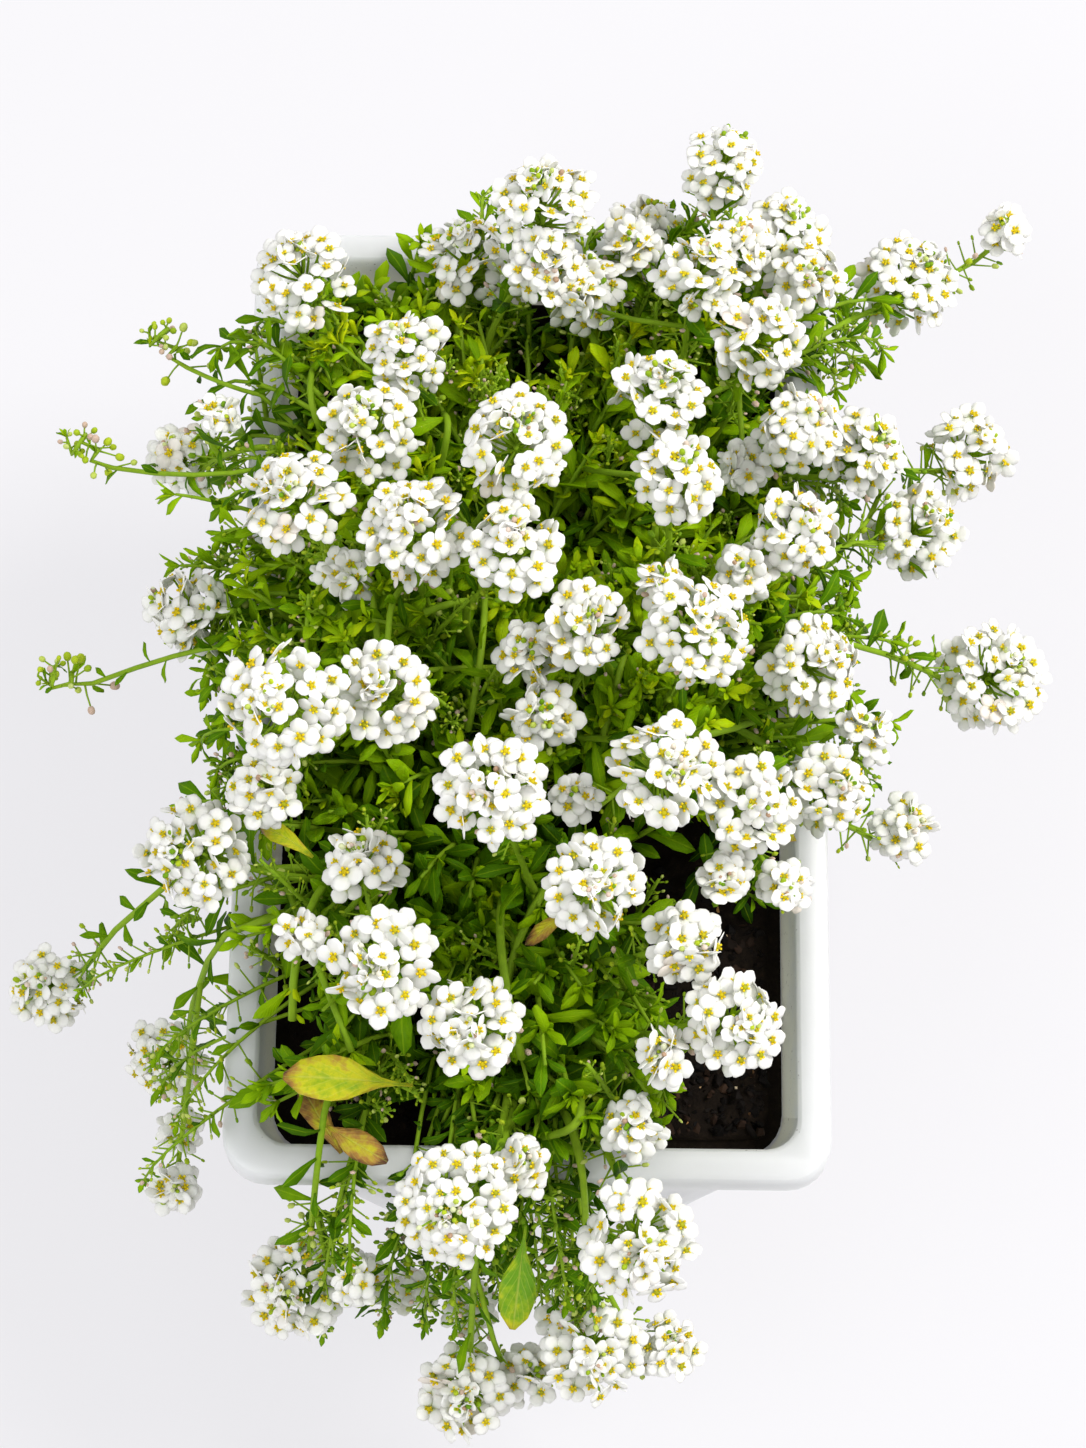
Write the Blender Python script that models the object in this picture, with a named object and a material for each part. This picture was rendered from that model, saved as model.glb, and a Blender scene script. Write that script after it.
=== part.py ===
"""Sweet alyssum in a rectangular plastic tray: rim, tapered body, soil, leaf clumps, flower heads.

X is the tray's width, Y its length (front is -Y) and Z is up. The origin is on the
base, at its centre. Metres throughout.
"""
import math

import bmesh
import bpy
from mathutils import Vector
from mathutils.bvhtree import BVHTree

MM = 0.001

# Tray, outside
RIM_WIDTH = 126 * MM
RIM_LENGTH = 216 * MM
TRAY_HEIGHT = 110 * MM
RIM_CORNER = 9 * MM
RIM_BAND = 7 * MM            # flat top of the rim, outer edge to inner wall
SKIRT_DROP = 8 * MM
SKIRT_WALL = 1.6 * MM
BODY_SET_IN = 4.4 * MM       # body behind the rim's outer edge, just under the rim
BASE_SET_IN = 16 * MM        # the same at the base
BODY_CORNER = 10 * MM
BASE_CORNER = 25 * MM
BASE_ROUND = 2 * MM
LIP_ROUND = 1.6 * MM
WALL = 2.4 * MM
FLOOR = 2.6 * MM
DRAIN_HOLE = 7 * MM
DRAIN_SPREAD_X = 0.42        # share of the half width of the base
DRAIN_SPREAD_Y = 0.62        # share of the half length of the base

# The tray size that the planting below is laid out for; it spreads with a larger tray
LAYOUT_WIDTH = 126 * MM
LAYOUT_LENGTH = 216 * MM

# Soil and leaves
GAP = 0.3 * MM
SOIL_CLEARANCE = 0.5 * MM
SOIL_BELOW_RIM = 15 * MM
SOIL_EDGE_DROP = 2 * MM
CLUMP_GAP = 1.2 * MM
CLUMP_WALL_CLEARANCE = 4 * MM
CLUMP_RIM_CLEARANCE = 3 * MM

# Stalks
STALK = 0.9 * MM             # radius
STALK_TIP_GAP = 1.0 * MM
HEAD_GAP = 0.6 * MM
ARCH_RISE = 16 * MM          # how far above the rim a trailing stalk crosses it

SIDES = 7                    # points on each corner arc

# Clumps: name, then left, right, front, back edges in mm on a tray of the layout size, then
# the rise of the top above the rim in mm.
CLUMPS = (
    ("foliage_back_left", -60, 0, 34, 86, 24),
    ("foliage_back_right", 0, 60, 34, 86, 22),
    ("foliage_middle_left", -64, 0, -34, 34, 42),
    ("foliage_middle_right", 0, 60, -34, 34, 36),
    ("foliage_front_left", -58, -18, -98, -34, 32),
    ("foliage_front_centre", -18, 30, -112, -34, 26),
)

# Flower heads: x, y in mm on a tray of the layout size, rise of the head's middle above the
# rim in mm, radius of the head in mm.
HEADS = (
    (41, 111, 35, 9), (1, 96, 45, 11), (24, 104, 15, 9), (54, 96, 30, 10),
    (-52, 83, 35, 11), (-16, 94, 22, 10), (12, 83, 25, 9), (35, 78, 48, 9),
    (48, 61, 52, 10), (84, 98, 5, 11), (-28, 59, 47, 9), (-35, 36, 58, 10),
    (-4, 27, 73, 11), (26, 46, 56, 10), (30, 23, 65, 9), (57, 43, 45, 9),
    (71, 45, 30, 9), (97, 58, 0, 10), (-50, 19, 60, 11), (-25, 11, 65, 11),
    (-4, 5, 70, 10), (55, 18, 50, 9), (85, 37, 5, 10), (-80, 56, -5, 8),
    (-77, 12, 15, 9), (11, -8, 60, 9), (34, -12, 68, 11), (59, -9, 42, 10),
    (-50, -34, 82, 12), (-30, -25, 65, 10), (102, 7, -5, 12),
    (-8, -49, 75, 11), (27, -44, 74, 11), (45, -45, 55, 10), (62, -34, 35, 9),
    (-70, -51, 40, 11), (13, -65, 65, 10), (-28, -81, 58, 11),
    (-13, -89, 50, 10), (32, -71, 46, 8), (42, -87, 45, 10), (-107, -58, -35, 9),
    (-82, -70, -50, 9), (-14, -125, 45, 12), (23, -129, 30, 12), (-50, -127, -25, 11),
    (-13, -145, -45, 10), (15, -139, -30, 11),
)

# Stalks that end in closed buds: x, y of the tip, its rise above the rim, tip radius, mm.
BUDS = (
    (-85, 79, 10, 3), (-103, 57, 0, 3), (-107, 3, -5, 3),
)

# Middle of a head to the levels of its profile, and the radius there, both in radii.
HEAD_PROFILE = (
    (0.50, 0.28), (0.36, 0.70), (0.10, 0.97), (-0.14, 0.98), (-0.36, 0.72), (-0.95, 0.22),
)
HEAD_FOOT = 1.2
TILT = 0.55                  # sideways lean of a head at the rim's edge, against 1 upward


def clear_scene():
    for thing in list(bpy.data.objects):
        bpy.data.objects.remove(thing, do_unlink=True)
    for group in list(bpy.data.collections):
        bpy.data.collections.remove(group)


def new_collection(name):
    group = bpy.data.collections.new(name)
    bpy.context.scene.collection.children.link(group)
    return group


def finish_material(name, colour, roughness):
    mat = bpy.data.materials.new(name)
    mat.use_nodes = True
    shader = mat.node_tree.nodes["Principled BSDF"]
    shader.inputs["Base Color"].default_value = (*colour, 1.0)
    shader.inputs["Roughness"].default_value = roughness
    return mat


def rounded_rectangle(left, right, front, back, corner, height):
    """Points of a rounded rectangle at one height, anticlockwise from its right side."""
    corner = min(corner, (right - left) / 2 - GAP, (back - front) / 2 - GAP)
    middles = (
        (right - corner, back - corner), (left + corner, back - corner),
        (left + corner, front + corner), (right - corner, front + corner),
    )
    points = []
    for quarter, (mid_x, mid_y) in enumerate(middles):
        for step in range(SIDES):
            angle = math.pi / 2 * (quarter + step / (SIDES - 1))
            points.append((mid_x + corner * math.cos(angle),
                           mid_y + corner * math.sin(angle), height))
    return points


def loft(name, rings, place, group, colour, roughness):
    """One closed body through rings of equal length, capped flat at both ends.

    The rings are in world positions; the object's own origin is at place.
    """
    mesh = bpy.data.meshes.new(name)
    shape = bmesh.new()
    loops = [[shape.verts.new(Vector(point) - place) for point in ring] for ring in rings]
    for loop in loops:
        for start, end in zip(loop, loop[1:] + loop[:1]):
            shape.edges.new((start, end))
    for lower, upper in zip(loops, loops[1:]):
        for i, start in enumerate(lower):
            j = (i + 1) % len(lower)
            shape.faces.new((start, lower[j], upper[j], upper[i]))
    bmesh.ops.holes_fill(shape, edges=shape.edges, sides=0)
    bmesh.ops.recalc_face_normals(shape, faces=shape.faces)
    shape.to_mesh(mesh)
    shape.free()
    mesh.shade_smooth()
    mesh.set_sharp_from_angle(angle=math.radians(40))
    thing = bpy.data.objects.new(name, mesh)
    thing.location = place
    thing.data.materials.append(finish_material(name, colour, roughness))
    group.objects.link(thing)
    return thing


def tray_ring(set_in, height, corner):
    half_x = RIM_WIDTH / 2 - set_in
    half_y = RIM_LENGTH / 2 - set_in
    return rounded_rectangle(-half_x, half_x, -half_y, half_y, corner, height)


def share(low, high, amount):
    return low + (high - low) * amount


def inner_wall(height):
    """Set-in and corner radius of the tray's inner wall at a height."""
    amount = (height - FLOOR) / (TRAY_HEIGHT - FLOOR)
    set_in = share(BASE_SET_IN + WALL, RIM_BAND, amount)
    corner = share(BASE_CORNER - WALL, RIM_CORNER - WALL, amount)
    return set_in, corner


def build_tray(group, cutters):
    top = TRAY_HEIGHT
    under = top - WALL
    skirt = top - SKIRT_DROP
    rim_inner, rim_inner_corner = inner_wall(top)
    floor_in, floor_corner = inner_wall(FLOOR)
    rings = [
        tray_ring(BASE_SET_IN + BASE_ROUND, 0.0, BASE_CORNER - BASE_ROUND),
        tray_ring(BASE_SET_IN + BASE_ROUND * 0.3, BASE_ROUND * 0.3, BASE_CORNER),
        tray_ring(BASE_SET_IN - BASE_ROUND * 0.2, BASE_ROUND, BASE_CORNER),
        tray_ring(BODY_SET_IN, under, BODY_CORNER),
        tray_ring(SKIRT_WALL, under, RIM_CORNER),
        tray_ring(SKIRT_WALL, skirt, RIM_CORNER),
        tray_ring(0.0, skirt, RIM_CORNER),
        tray_ring(0.0, top - LIP_ROUND, RIM_CORNER),
        tray_ring(LIP_ROUND * 0.3, top - LIP_ROUND * 0.3, RIM_CORNER),
        tray_ring(LIP_ROUND, top, RIM_CORNER),
        tray_ring(rim_inner - LIP_ROUND / 2, top, rim_inner_corner),
        tray_ring(rim_inner, top - LIP_ROUND / 2, rim_inner_corner),
        tray_ring(floor_in, FLOOR * 1.8, floor_corner),
        tray_ring(floor_in + FLOOR, FLOOR, floor_corner),
    ]
    tray = loft("tray", rings, Vector(), group, (0.86, 0.87, 0.86), 0.32)

    base_x = RIM_WIDTH / 2 - BASE_SET_IN
    base_y = RIM_LENGTH / 2 - BASE_SET_IN
    for row in (-1, 0, 1):
        for side in (-1, 1):
            mesh = bpy.data.meshes.new("drain_cutter")
            shape = bmesh.new()
            bmesh.ops.create_cone(shape, cap_ends=True, segments=16,
                                  radius1=DRAIN_HOLE / 2, radius2=DRAIN_HOLE / 2,
                                  depth=FLOOR * 4)
            shape.to_mesh(mesh)
            shape.free()
            cutter = bpy.data.objects.new("drain_cutter", mesh)
            cutter.location = (side * base_x * DRAIN_SPREAD_X,
                               row * base_y * DRAIN_SPREAD_Y, 0.0)
            cutter.hide_render = True
            cutter.display_type = "WIRE"
            cutters.objects.link(cutter)
            cut = tray.modifiers.new("drain", "BOOLEAN")
            cut.operation = "DIFFERENCE"
            cut.solver = "EXACT"
            cut.object = cutter
    return tray


def build_soil(group):
    top = TRAY_HEIGHT - SOIL_BELOW_RIM
    bottom = FLOOR * 1.8 + GAP
    rings = []
    for height in (bottom, top - SOIL_EDGE_DROP):
        set_in, corner = inner_wall(height)
        rings.append(tray_ring(set_in + SOIL_CLEARANCE, height, corner))
    set_in, corner = inner_wall(top)
    rings.append(tray_ring(set_in + SOIL_EDGE_DROP * 2, top, corner))
    return loft("soil", rings, Vector((0.0, 0.0, bottom)), group, (0.035, 0.025, 0.02), 0.95)


def build_clump(name, left, right, front, back, rise, group):
    """A mass of leaves: foot on the soil inside the tray, spreading above the rim."""
    wide = RIM_WIDTH / LAYOUT_WIDTH
    long = RIM_LENGTH / LAYOUT_LENGTH
    left, right = left * MM * wide + CLUMP_GAP / 2, right * MM * wide - CLUMP_GAP / 2
    front, back = front * MM * long + CLUMP_GAP / 2, back * MM * long - CLUMP_GAP / 2
    rise = rise * MM
    foot = TRAY_HEIGHT - SOIL_BELOW_RIM + GAP
    wall_in = inner_wall(TRAY_HEIGHT - SOIL_BELOW_RIM)[0] + CLUMP_WALL_CLEARANCE
    keep_x = RIM_WIDTH / 2 - wall_in
    keep_y = RIM_LENGTH / 2 - wall_in
    span = min(right - left, back - front)

    def ring(height, shrink, inside):
        cut = span * shrink
        sides = [left + cut, right - cut, front + cut, back - cut]
        if inside:
            sides = [max(sides[0], -keep_x), min(sides[1], keep_x),
                     max(sides[2], -keep_y), min(sides[3], keep_y)]
        corner = 0.42 * min(sides[1] - sides[0], sides[3] - sides[2])
        return rounded_rectangle(*sides, corner, height)

    rim = TRAY_HEIGHT
    rings = [
        ring(foot, 0.16, True),
        ring(rim - LIP_ROUND, 0.06, True),
        ring(rim + CLUMP_RIM_CLEARANCE + LIP_ROUND, 0.03, False),
        ring(rim + rise * 0.45, 0.0, False),
        ring(rim + rise * 0.72, 0.07, False),
        ring(rim + rise * 0.92, 0.19, False),
        ring(rim + rise, 0.33, False),
    ]
    place = Vector(((left + right) / 2, (front + back) / 2, foot))
    return loft(name, rings, place, group, (0.12, 0.3, 0.035), 0.6)


def leaf_surface(clumps):
    """All the clumps as one surface to measure distances from."""
    points, faces = [], []
    for clump in clumps:
        start = len(points)
        points.extend(vertex.co + clump.location for vertex in clump.data.vertices)
        faces.extend([start + i for i in face.vertices] for face in clump.data.polygons)
    return BVHTree.FromPolygons(points, faces)


def head_axis(middle):
    lean = Vector((middle.x / (RIM_WIDTH / 2), middle.y / (RIM_LENGTH / 2)))
    if lean.length > 1.0:
        lean.normalize()
    return Vector((lean.x * TILT, lean.y * TILT, 1.0)).normalized()


def clearance(point, leaves):
    """Distance from the leaves, negative inside them, and the way out."""
    near, normal, _, distance = leaves.find_nearest(point)
    away = point - near
    if away.dot(normal) < 0.0:
        return -distance, normal
    return distance, (away.normalized() if distance > 1e-6 else normal)


def off_line(point, line):
    """Vector to a point from the nearest place on a broken line."""
    best = None
    for start, end in zip(line, line[1:]):
        run = end - start
        t = max(0.0, min(1.0, (point - start).dot(run) / max(run.length_squared, 1e-12)))
        away = point - (start + run * t)
        if best is None or away.length < best.length:
            best = away
    return best


def clear_stalks(middles, radii, leaves):
    """Push heads off the stalks of the others; True when any moved."""
    moved = False
    for i, middle in enumerate(middles):
        foot = middle - head_axis(middle) * radii[i] * HEAD_FOOT
        line = [middle] + stalk_line(foot, leaves)
        for j, other in enumerate(middles):
            if j == i:
                continue
            away = off_line(other, line)
            need = radii[j] + STALK + HEAD_GAP
            if away.length < need:
                other += away.normalized() * (need - away.length) * 0.6
                middle -= away.normalized() * (need - away.length) * 0.4
                moved = True
    return moved


def settle_heads(leaves):
    """Middles of the heads, moved just enough to keep off each other and the leaves."""
    wide = RIM_WIDTH / LAYOUT_WIDTH
    long = RIM_LENGTH / LAYOUT_LENGTH
    middles = [Vector((x * MM * wide, y * MM * long, TRAY_HEIGHT + rise * MM))
               for x, y, rise, _ in HEADS]
    radii = [radius * MM for _, _, _, radius in HEADS]
    for _ in range(400):
        moved = False
        for i, middle in enumerate(middles):
            for j in range(i):
                apart = middle - middles[j]
                apart.z *= 0.8
                need = radii[i] + radii[j] + HEAD_GAP
                if apart.length < need:
                    push = apart.normalized() * (need - apart.length) * 0.52
                    middle += push
                    middles[j] -= push
                    moved = True
            axis = head_axis(middle)
            foot = middle - axis * radii[i] * HEAD_FOOT
            for point, keep in ((middle, radii[i]), (foot, STALK * 2 + STALK_TIP_GAP)):
                free, way_out = clearance(point, leaves)
                if free < keep:
                    middle += way_out * (keep - free + 0.05 * MM)
                    moved = True
            low = TRAY_HEIGHT + CLUMP_RIM_CLEARANCE + radii[i] * HEAD_FOOT
            outside = max(abs(middle.x) - RIM_WIDTH / 2, abs(middle.y) - RIM_LENGTH / 2)
            if outside < radii[i] and middle.z < low - 0.01 * MM:
                middle.z = low
                moved = True
        moved = clear_stalks(middles, radii, leaves) or moved
        if not moved:
            break
    return middles, radii


def stalk_line(foot, leaves, steps=4):
    """Centre line from a head's foot to just short of the leaves, arched over the rim."""
    outside = max(abs(foot.x) / (RIM_WIDTH / 2), abs(foot.y) / (RIM_LENGTH / 2))
    if outside > 1.0 and foot.z < TRAY_HEIGHT + ARCH_RISE * 1.5:
        pull = share(1.0, 1.0 / outside, 0.7)
        bend = Vector((foot.x * pull, foot.y * pull, TRAY_HEIGHT + ARCH_RISE))
        free, way_out = clearance(bend, leaves)
        if free < STALK * 3:
            bend += way_out * (STALK * 3 - free)
    else:
        bend = foot.copy()
    near, _, _, _ = leaves.find_nearest(bend)
    end = near + (bend - near).normalized() * STALK_TIP_GAP
    if (bend - foot).length < 1e-6:
        return [foot, end]
    line = []
    for step in range(steps + 1):
        t = step / steps
        line.append(foot * (1 - t) ** 2 + bend * 2 * t * (1 - t) + end * t ** 2)
    return line


def turned_curve(name, points, radii, group, colour):
    """A round body along a centre line, with its own radius at each point.

    The object's origin is at the first point.
    """
    curve = bpy.data.curves.new(name, "CURVE")
    curve.dimensions = "3D"
    curve.bevel_depth = 1.0
    curve.bevel_resolution = 3
    curve.use_fill_caps = True
    spline = curve.splines.new("POLY")
    spline.points.add(len(points) - 1)
    for spot, place, radius in zip(spline.points, points, radii):
        spot.co = (*(place - points[0]), 1.0)
        spot.radius = radius
    thing = bpy.data.objects.new(name, curve)
    thing.location = points[0]
    thing.data.materials.append(finish_material(name, colour, 0.5))
    group.objects.link(thing)
    return thing


def build_heads(leaves, group):
    middles, radii = settle_heads(leaves)
    for number, (middle, radius) in enumerate(zip(middles, radii), start=1):
        axis = head_axis(middle)
        foot = middle - axis * radius * HEAD_FOOT
        points = [middle + axis * radius * level for level, _ in HEAD_PROFILE]
        widths = [radius * width for _, width in HEAD_PROFILE]
        line = stalk_line(foot, leaves)
        points += line
        widths += [STALK] * len(line)
        turned_curve(f"flower_head_{number:02d}", points, widths, group, (0.92, 0.92, 0.88))


def build_buds(leaves, group):
    wide = RIM_WIDTH / LAYOUT_WIDTH
    long = RIM_LENGTH / LAYOUT_LENGTH
    for number, (x, y, rise, radius) in enumerate(BUDS, start=1):
        tip = Vector((x * MM * wide, y * MM * long, TRAY_HEIGHT + rise * MM))
        outward = Vector((tip.x, tip.y, 0.0)).normalized()
        axis = (outward + Vector((0.0, 0.0, 0.3))).normalized()
        radius = radius * MM
        foot = tip - axis * radius * 4
        line = stalk_line(foot, leaves)
        points = [tip, tip - axis * radius, tip - axis * radius * 2.4] + line
        widths = [radius * 0.4, radius, radius * 0.7] + [STALK] * len(line)
        turned_curve(f"bud_stalk_{number}", points, widths, group, (0.45, 0.5, 0.2))


def main():
    clear_scene()
    parts = new_collection("alyssum_tray")
    cutters = new_collection("cutters")
    build_tray(parts, cutters)
    build_soil(parts)
    clumps = [build_clump(*spec, parts) for spec in CLUMPS]
    leaves = leaf_surface(clumps)
    build_heads(leaves, parts)
    build_buds(leaves, parts)


main()
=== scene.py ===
"""Looks of a sweet alyssum growing in a white plastic tray, built around its fixed frame."""
import contextlib
import math
import random

import bmesh
import bpy
import numpy as np
from mathutils import Matrix, Quaternion, Vector, noise


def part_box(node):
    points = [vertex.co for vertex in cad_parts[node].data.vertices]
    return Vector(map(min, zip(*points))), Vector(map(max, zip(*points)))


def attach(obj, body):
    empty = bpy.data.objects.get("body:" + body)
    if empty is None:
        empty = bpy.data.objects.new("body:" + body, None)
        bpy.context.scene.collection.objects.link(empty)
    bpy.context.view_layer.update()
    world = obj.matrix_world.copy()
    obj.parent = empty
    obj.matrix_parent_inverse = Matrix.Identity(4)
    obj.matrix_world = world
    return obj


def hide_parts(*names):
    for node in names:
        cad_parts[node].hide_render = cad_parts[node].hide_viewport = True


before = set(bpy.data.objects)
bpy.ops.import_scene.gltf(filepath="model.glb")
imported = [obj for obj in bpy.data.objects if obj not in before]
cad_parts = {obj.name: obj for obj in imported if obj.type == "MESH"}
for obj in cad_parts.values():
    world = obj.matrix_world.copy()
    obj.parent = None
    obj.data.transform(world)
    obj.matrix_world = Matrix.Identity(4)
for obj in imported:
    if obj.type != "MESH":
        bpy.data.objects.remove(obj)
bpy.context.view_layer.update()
TRAY_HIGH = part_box("tray")[1]
SOIL_LOW, SOIL_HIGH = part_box("soil")
RIM = TRAY_HIGH.z
HEAD_NODES = sorted(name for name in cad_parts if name.startswith("flower_head_"))
BUD_NODES = sorted(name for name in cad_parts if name.startswith("bud_stalk_"))
CLUMP_NODES = sorted(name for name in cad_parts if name.startswith("foliage_"))
UP = Vector((0.0, 0.0, 1.0))
MM = 0.001
MERGE = 0.01 * MM            # points closer than this become one
BARE_FRONT = (24 * MM, -50 * MM)             # nothing grows right of and in front of this
BARE_REAR = (-46 * MM, -30 * MM, 93 * MM)    # nor between the first two, behind the third
WALL = 6 * MM                # from the rim's outer edge to the inner face of the wall
LEAF_TURN = 2.4              # radians round a stem from one leaf, pod or bud to the next
STALK_REACH = 1.95 * MM      # past the points of one ring of a flower head's stalk
BUD_STALK_REACH = 2.6 * MM   # past the points of one ring of a bud stalk
POD_TINTS = (0.05, 0.15, 0.25, 0.35, 0.45, 0.93)
BUDS_ON_STALK = 19

bl_info = {
    "name": "Alyssum in a tray",
    "version": (1, 0, 0),
    "blender": (4, 5, 0),
    "location": "View3D > Sidebar > Alyssum",
    "description": "Builds the tray, soil, leaves, stems and flower heads of a potted alyssum",
    "category": "Object",
}


# ---------------------------------------------------------------- settings


class AlyssumTraySettings(bpy.types.PropertyGroup):
    plastic: bpy.props.FloatVectorProperty(
        name="Plastic", description="Colour of the tray's plastic",
        subtype="COLOR", default=(0.69, 0.695, 0.695))
    # paler than the plastic: a real mineral crust plus painted light on the shaded inner wall
    stain_and_painted_light: bpy.props.FloatVectorProperty(
        name="Stain", description="Mineral and algae stain inside the rim",
        subtype="COLOR", default=(0.76, 0.755, 0.64))
    edge_round: bpy.props.FloatProperty(
        name="Edge rounding", description="Radius worked onto the tray's sharp edges",
        default=0.5 * MM, min=0.0, unit="LENGTH")
    roughness: bpy.props.FloatProperty(
        name="Roughness", description="Roughness of the plastic", default=0.34, min=0.0, max=1.0)


class AlyssumSoilSettings(bpy.types.PropertyGroup):
    wet: bpy.props.FloatVectorProperty(
        name="Wet soil", description="Colour of the wet potting mix",
        subtype="COLOR", default=(0.006, 0.004, 0.003))
    dry: bpy.props.FloatVectorProperty(
        name="Dry crumbs", description="Colour of the drier crumbs on top",
        subtype="COLOR", default=(0.042, 0.023, 0.013))
    lump: bpy.props.FloatProperty(
        name="Lump height", description="Height of the lumps in the surface",
        default=3.2 * MM, min=0.0, unit="LENGTH")
    crumbs: bpy.props.IntProperty(
        name="Crumbs", description="Loose crumbs, bark bits and grit on the surface",
        default=9000, min=0)


class AlyssumLeafSettings(bpy.types.PropertyGroup):
    shoots: bpy.props.IntProperty(
        name="Shoots", description="Leafy shoots in each clump", default=70, min=1)
    ground_shoots: bpy.props.IntProperty(
        name="Low shoots", description="Short shoots that cover the soil", default=150, min=0)
    pod_stalks: bpy.props.IntProperty(
        name="Pod stalks", description="Stalks in each clump that have dropped their petals",
        default=15, min=0)
    hanging_shoots: bpy.props.IntProperty(
        name="Hanging shoots", description="Shoots that hang over the front of the rim",
        default=30, min=0)
    rear_shoots: bpy.props.IntProperty(
        name="Rear shoots", description="Short shoots in a row along the rear wall",
        default=44, min=0)
    runners: bpy.props.IntProperty(
        name="Runners", description="Long bare stems that cross over the leaves",
        default=30, min=0)
    length: bpy.props.FloatProperty(
        name="Leaf length", description="Length of a full-grown leaf",
        default=10.4 * MM, min=1.0 * MM, unit="LENGTH")
    width: bpy.props.FloatProperty(
        name="Leaf width", description="Width of a leaf as a share of its length",
        default=0.31, min=0.05, max=1.0)
    young: bpy.props.FloatVectorProperty(
        name="Young leaf", description="Colour of young leaves",
        subtype="COLOR", default=(0.30, 0.50, 0.002))
    grown: bpy.props.FloatVectorProperty(
        name="Grown leaf", description="Colour of full-grown leaves",
        subtype="COLOR", default=(0.080, 0.20, 0.001))


class AlyssumFlowerSettings(bpy.types.PropertyGroup):
    petal_length: bpy.props.FloatProperty(
        name="Petal length", description="Length of a petal of a full-grown flower",
        default=3.6 * MM, min=0.5 * MM, unit="LENGTH")
    petal_width: bpy.props.FloatProperty(
        name="Petal width", description="Width of a petal as a share of its length",
        default=0.98, min=0.2, max=1.5)
    petal: bpy.props.FloatVectorProperty(
        name="Petal", description="Colour of the petals",
        subtype="COLOR", default=(0.888, 0.875, 0.832))
    anther: bpy.props.FloatVectorProperty(
        name="Anther", description="Colour of the anthers",
        subtype="COLOR", default=(0.84, 0.58, 0.0))
    stem: bpy.props.FloatVectorProperty(
        name="Stem", description="Colour of stems and flower stalks",
        subtype="COLOR", default=(0.20, 0.37, 0.010))


class AlyssumStageSettings(bpy.types.PropertyGroup):
    lens: bpy.props.FloatProperty(name="Lens", description="Focal length in mm", default=100.0)
    elevation: bpy.props.FloatProperty(
        name="Elevation", description="Angle of the camera above the floor",
        default=math.radians(70.2), subtype="ANGLE")
    roll: bpy.props.FloatProperty(
        name="Roll", description="Roll of the camera", default=math.radians(0.67),
        subtype="ANGLE")
    distance: bpy.props.FloatProperty(
        name="Distance", description="Camera to the middle of the rim",
        default=0.861, unit="LENGTH")
    aim: bpy.props.FloatVectorProperty(
        name="Aim", description="Point looked at, from the middle of the rim's top",
        default=(0.0023, -0.0085, 0.0), subtype="TRANSLATION")
    floor: bpy.props.FloatVectorProperty(
        name="Floor", description="Colour of the floor", subtype="COLOR",
        default=(0.24, 0.238, 0.243))
    floor_glow: bpy.props.FloatProperty(
        name="Floor glow", description="Light of its own that the pale floor gives",
        default=0.63, min=0.0)


# ---------------------------------------------------------------- small tools


def only(thing):
    """Deselect everything, then select one object and make it active."""
    bpy.ops.object.select_all(action="DESELECT")
    thing.select_set(True)
    bpy.context.view_layer.objects.active = thing


def finish_modifier(thing, kind, **values):
    modifier = thing.modifiers.new(kind.lower(), kind)
    for key, value in values.items():
        setattr(modifier, key, value)
    only(thing)
    bpy.ops.object.modifier_apply(modifier=modifier.name)


def smooth(thing, angle=None):
    only(thing)
    if angle is None:
        bpy.ops.object.shade_smooth()
    else:
        bpy.ops.object.shade_smooth_by_angle(angle=math.radians(angle))


@contextlib.contextmanager
def editing():
    """Edit mode on the active object, with all of it selected, and back again."""
    bpy.ops.object.mode_set(mode="EDIT")
    bpy.ops.mesh.select_all(action="SELECT")
    yield
    bpy.ops.object.mode_set(mode="OBJECT")


def dress(thing, material):
    """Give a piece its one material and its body."""
    thing.data.materials.clear()
    thing.data.materials.append(material)
    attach(thing, "root")
    return thing


class Shape:
    """A small modelled form as arrays, ready to be copied many times into one mesh."""

    def __init__(self, points, corners, sizes, uvs):
        self.points, self.corners, self.sizes, self.uvs = points, corners, sizes, uvs

    @classmethod
    def of(cls, thing):
        """Take the form out of an object, which is removed."""
        mesh = thing.data
        points = np.zeros(len(mesh.vertices) * 3, np.float32)
        mesh.vertices.foreach_get("co", points)
        corners = np.zeros(len(mesh.loops), np.int32)
        mesh.loops.foreach_get("vertex_index", corners)
        sizes = np.zeros(len(mesh.polygons), np.int32)
        mesh.polygons.foreach_get("loop_total", sizes)
        uvs = np.full(len(mesh.loops) * 2, 0.5, np.float32)
        if mesh.uv_layers:
            mesh.uv_layers.active.data.foreach_get("uv", uvs)
        bpy.data.objects.remove(thing, do_unlink=True)
        # a round primitive's faces come in any order, so they are always sorted the same way
        starts = np.cumsum(sizes) - sizes
        faces = [np.arange(start, start + size) for start, size in zip(starts, sizes)]
        faces.sort(key=lambda face: tuple(corners[face]))
        order = np.concatenate(faces)
        sizes = np.array([len(face) for face in faces], np.int32)
        return cls(points.reshape(-1, 3), corners[order], sizes, uvs.reshape(-1, 2)[order])

    @classmethod
    def joined(cls, copies):
        """One form made of many placed ones; each copy starts with a shape and a matrix."""
        points, corners, sizes, uvs, start = [], [], [], [], 0
        for shape, place, *_ in copies:
            matrix = np.array(place, np.float32)
            points.append(shape.points @ matrix[:3, :3].T + matrix[:3, 3])
            corners.append(shape.corners + start)
            sizes.append(shape.sizes)
            uvs.append(shape.uvs)
            start += len(shape.points)
        return cls(np.concatenate(points), np.concatenate(corners),
                   np.concatenate(sizes), np.concatenate(uvs))


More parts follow.
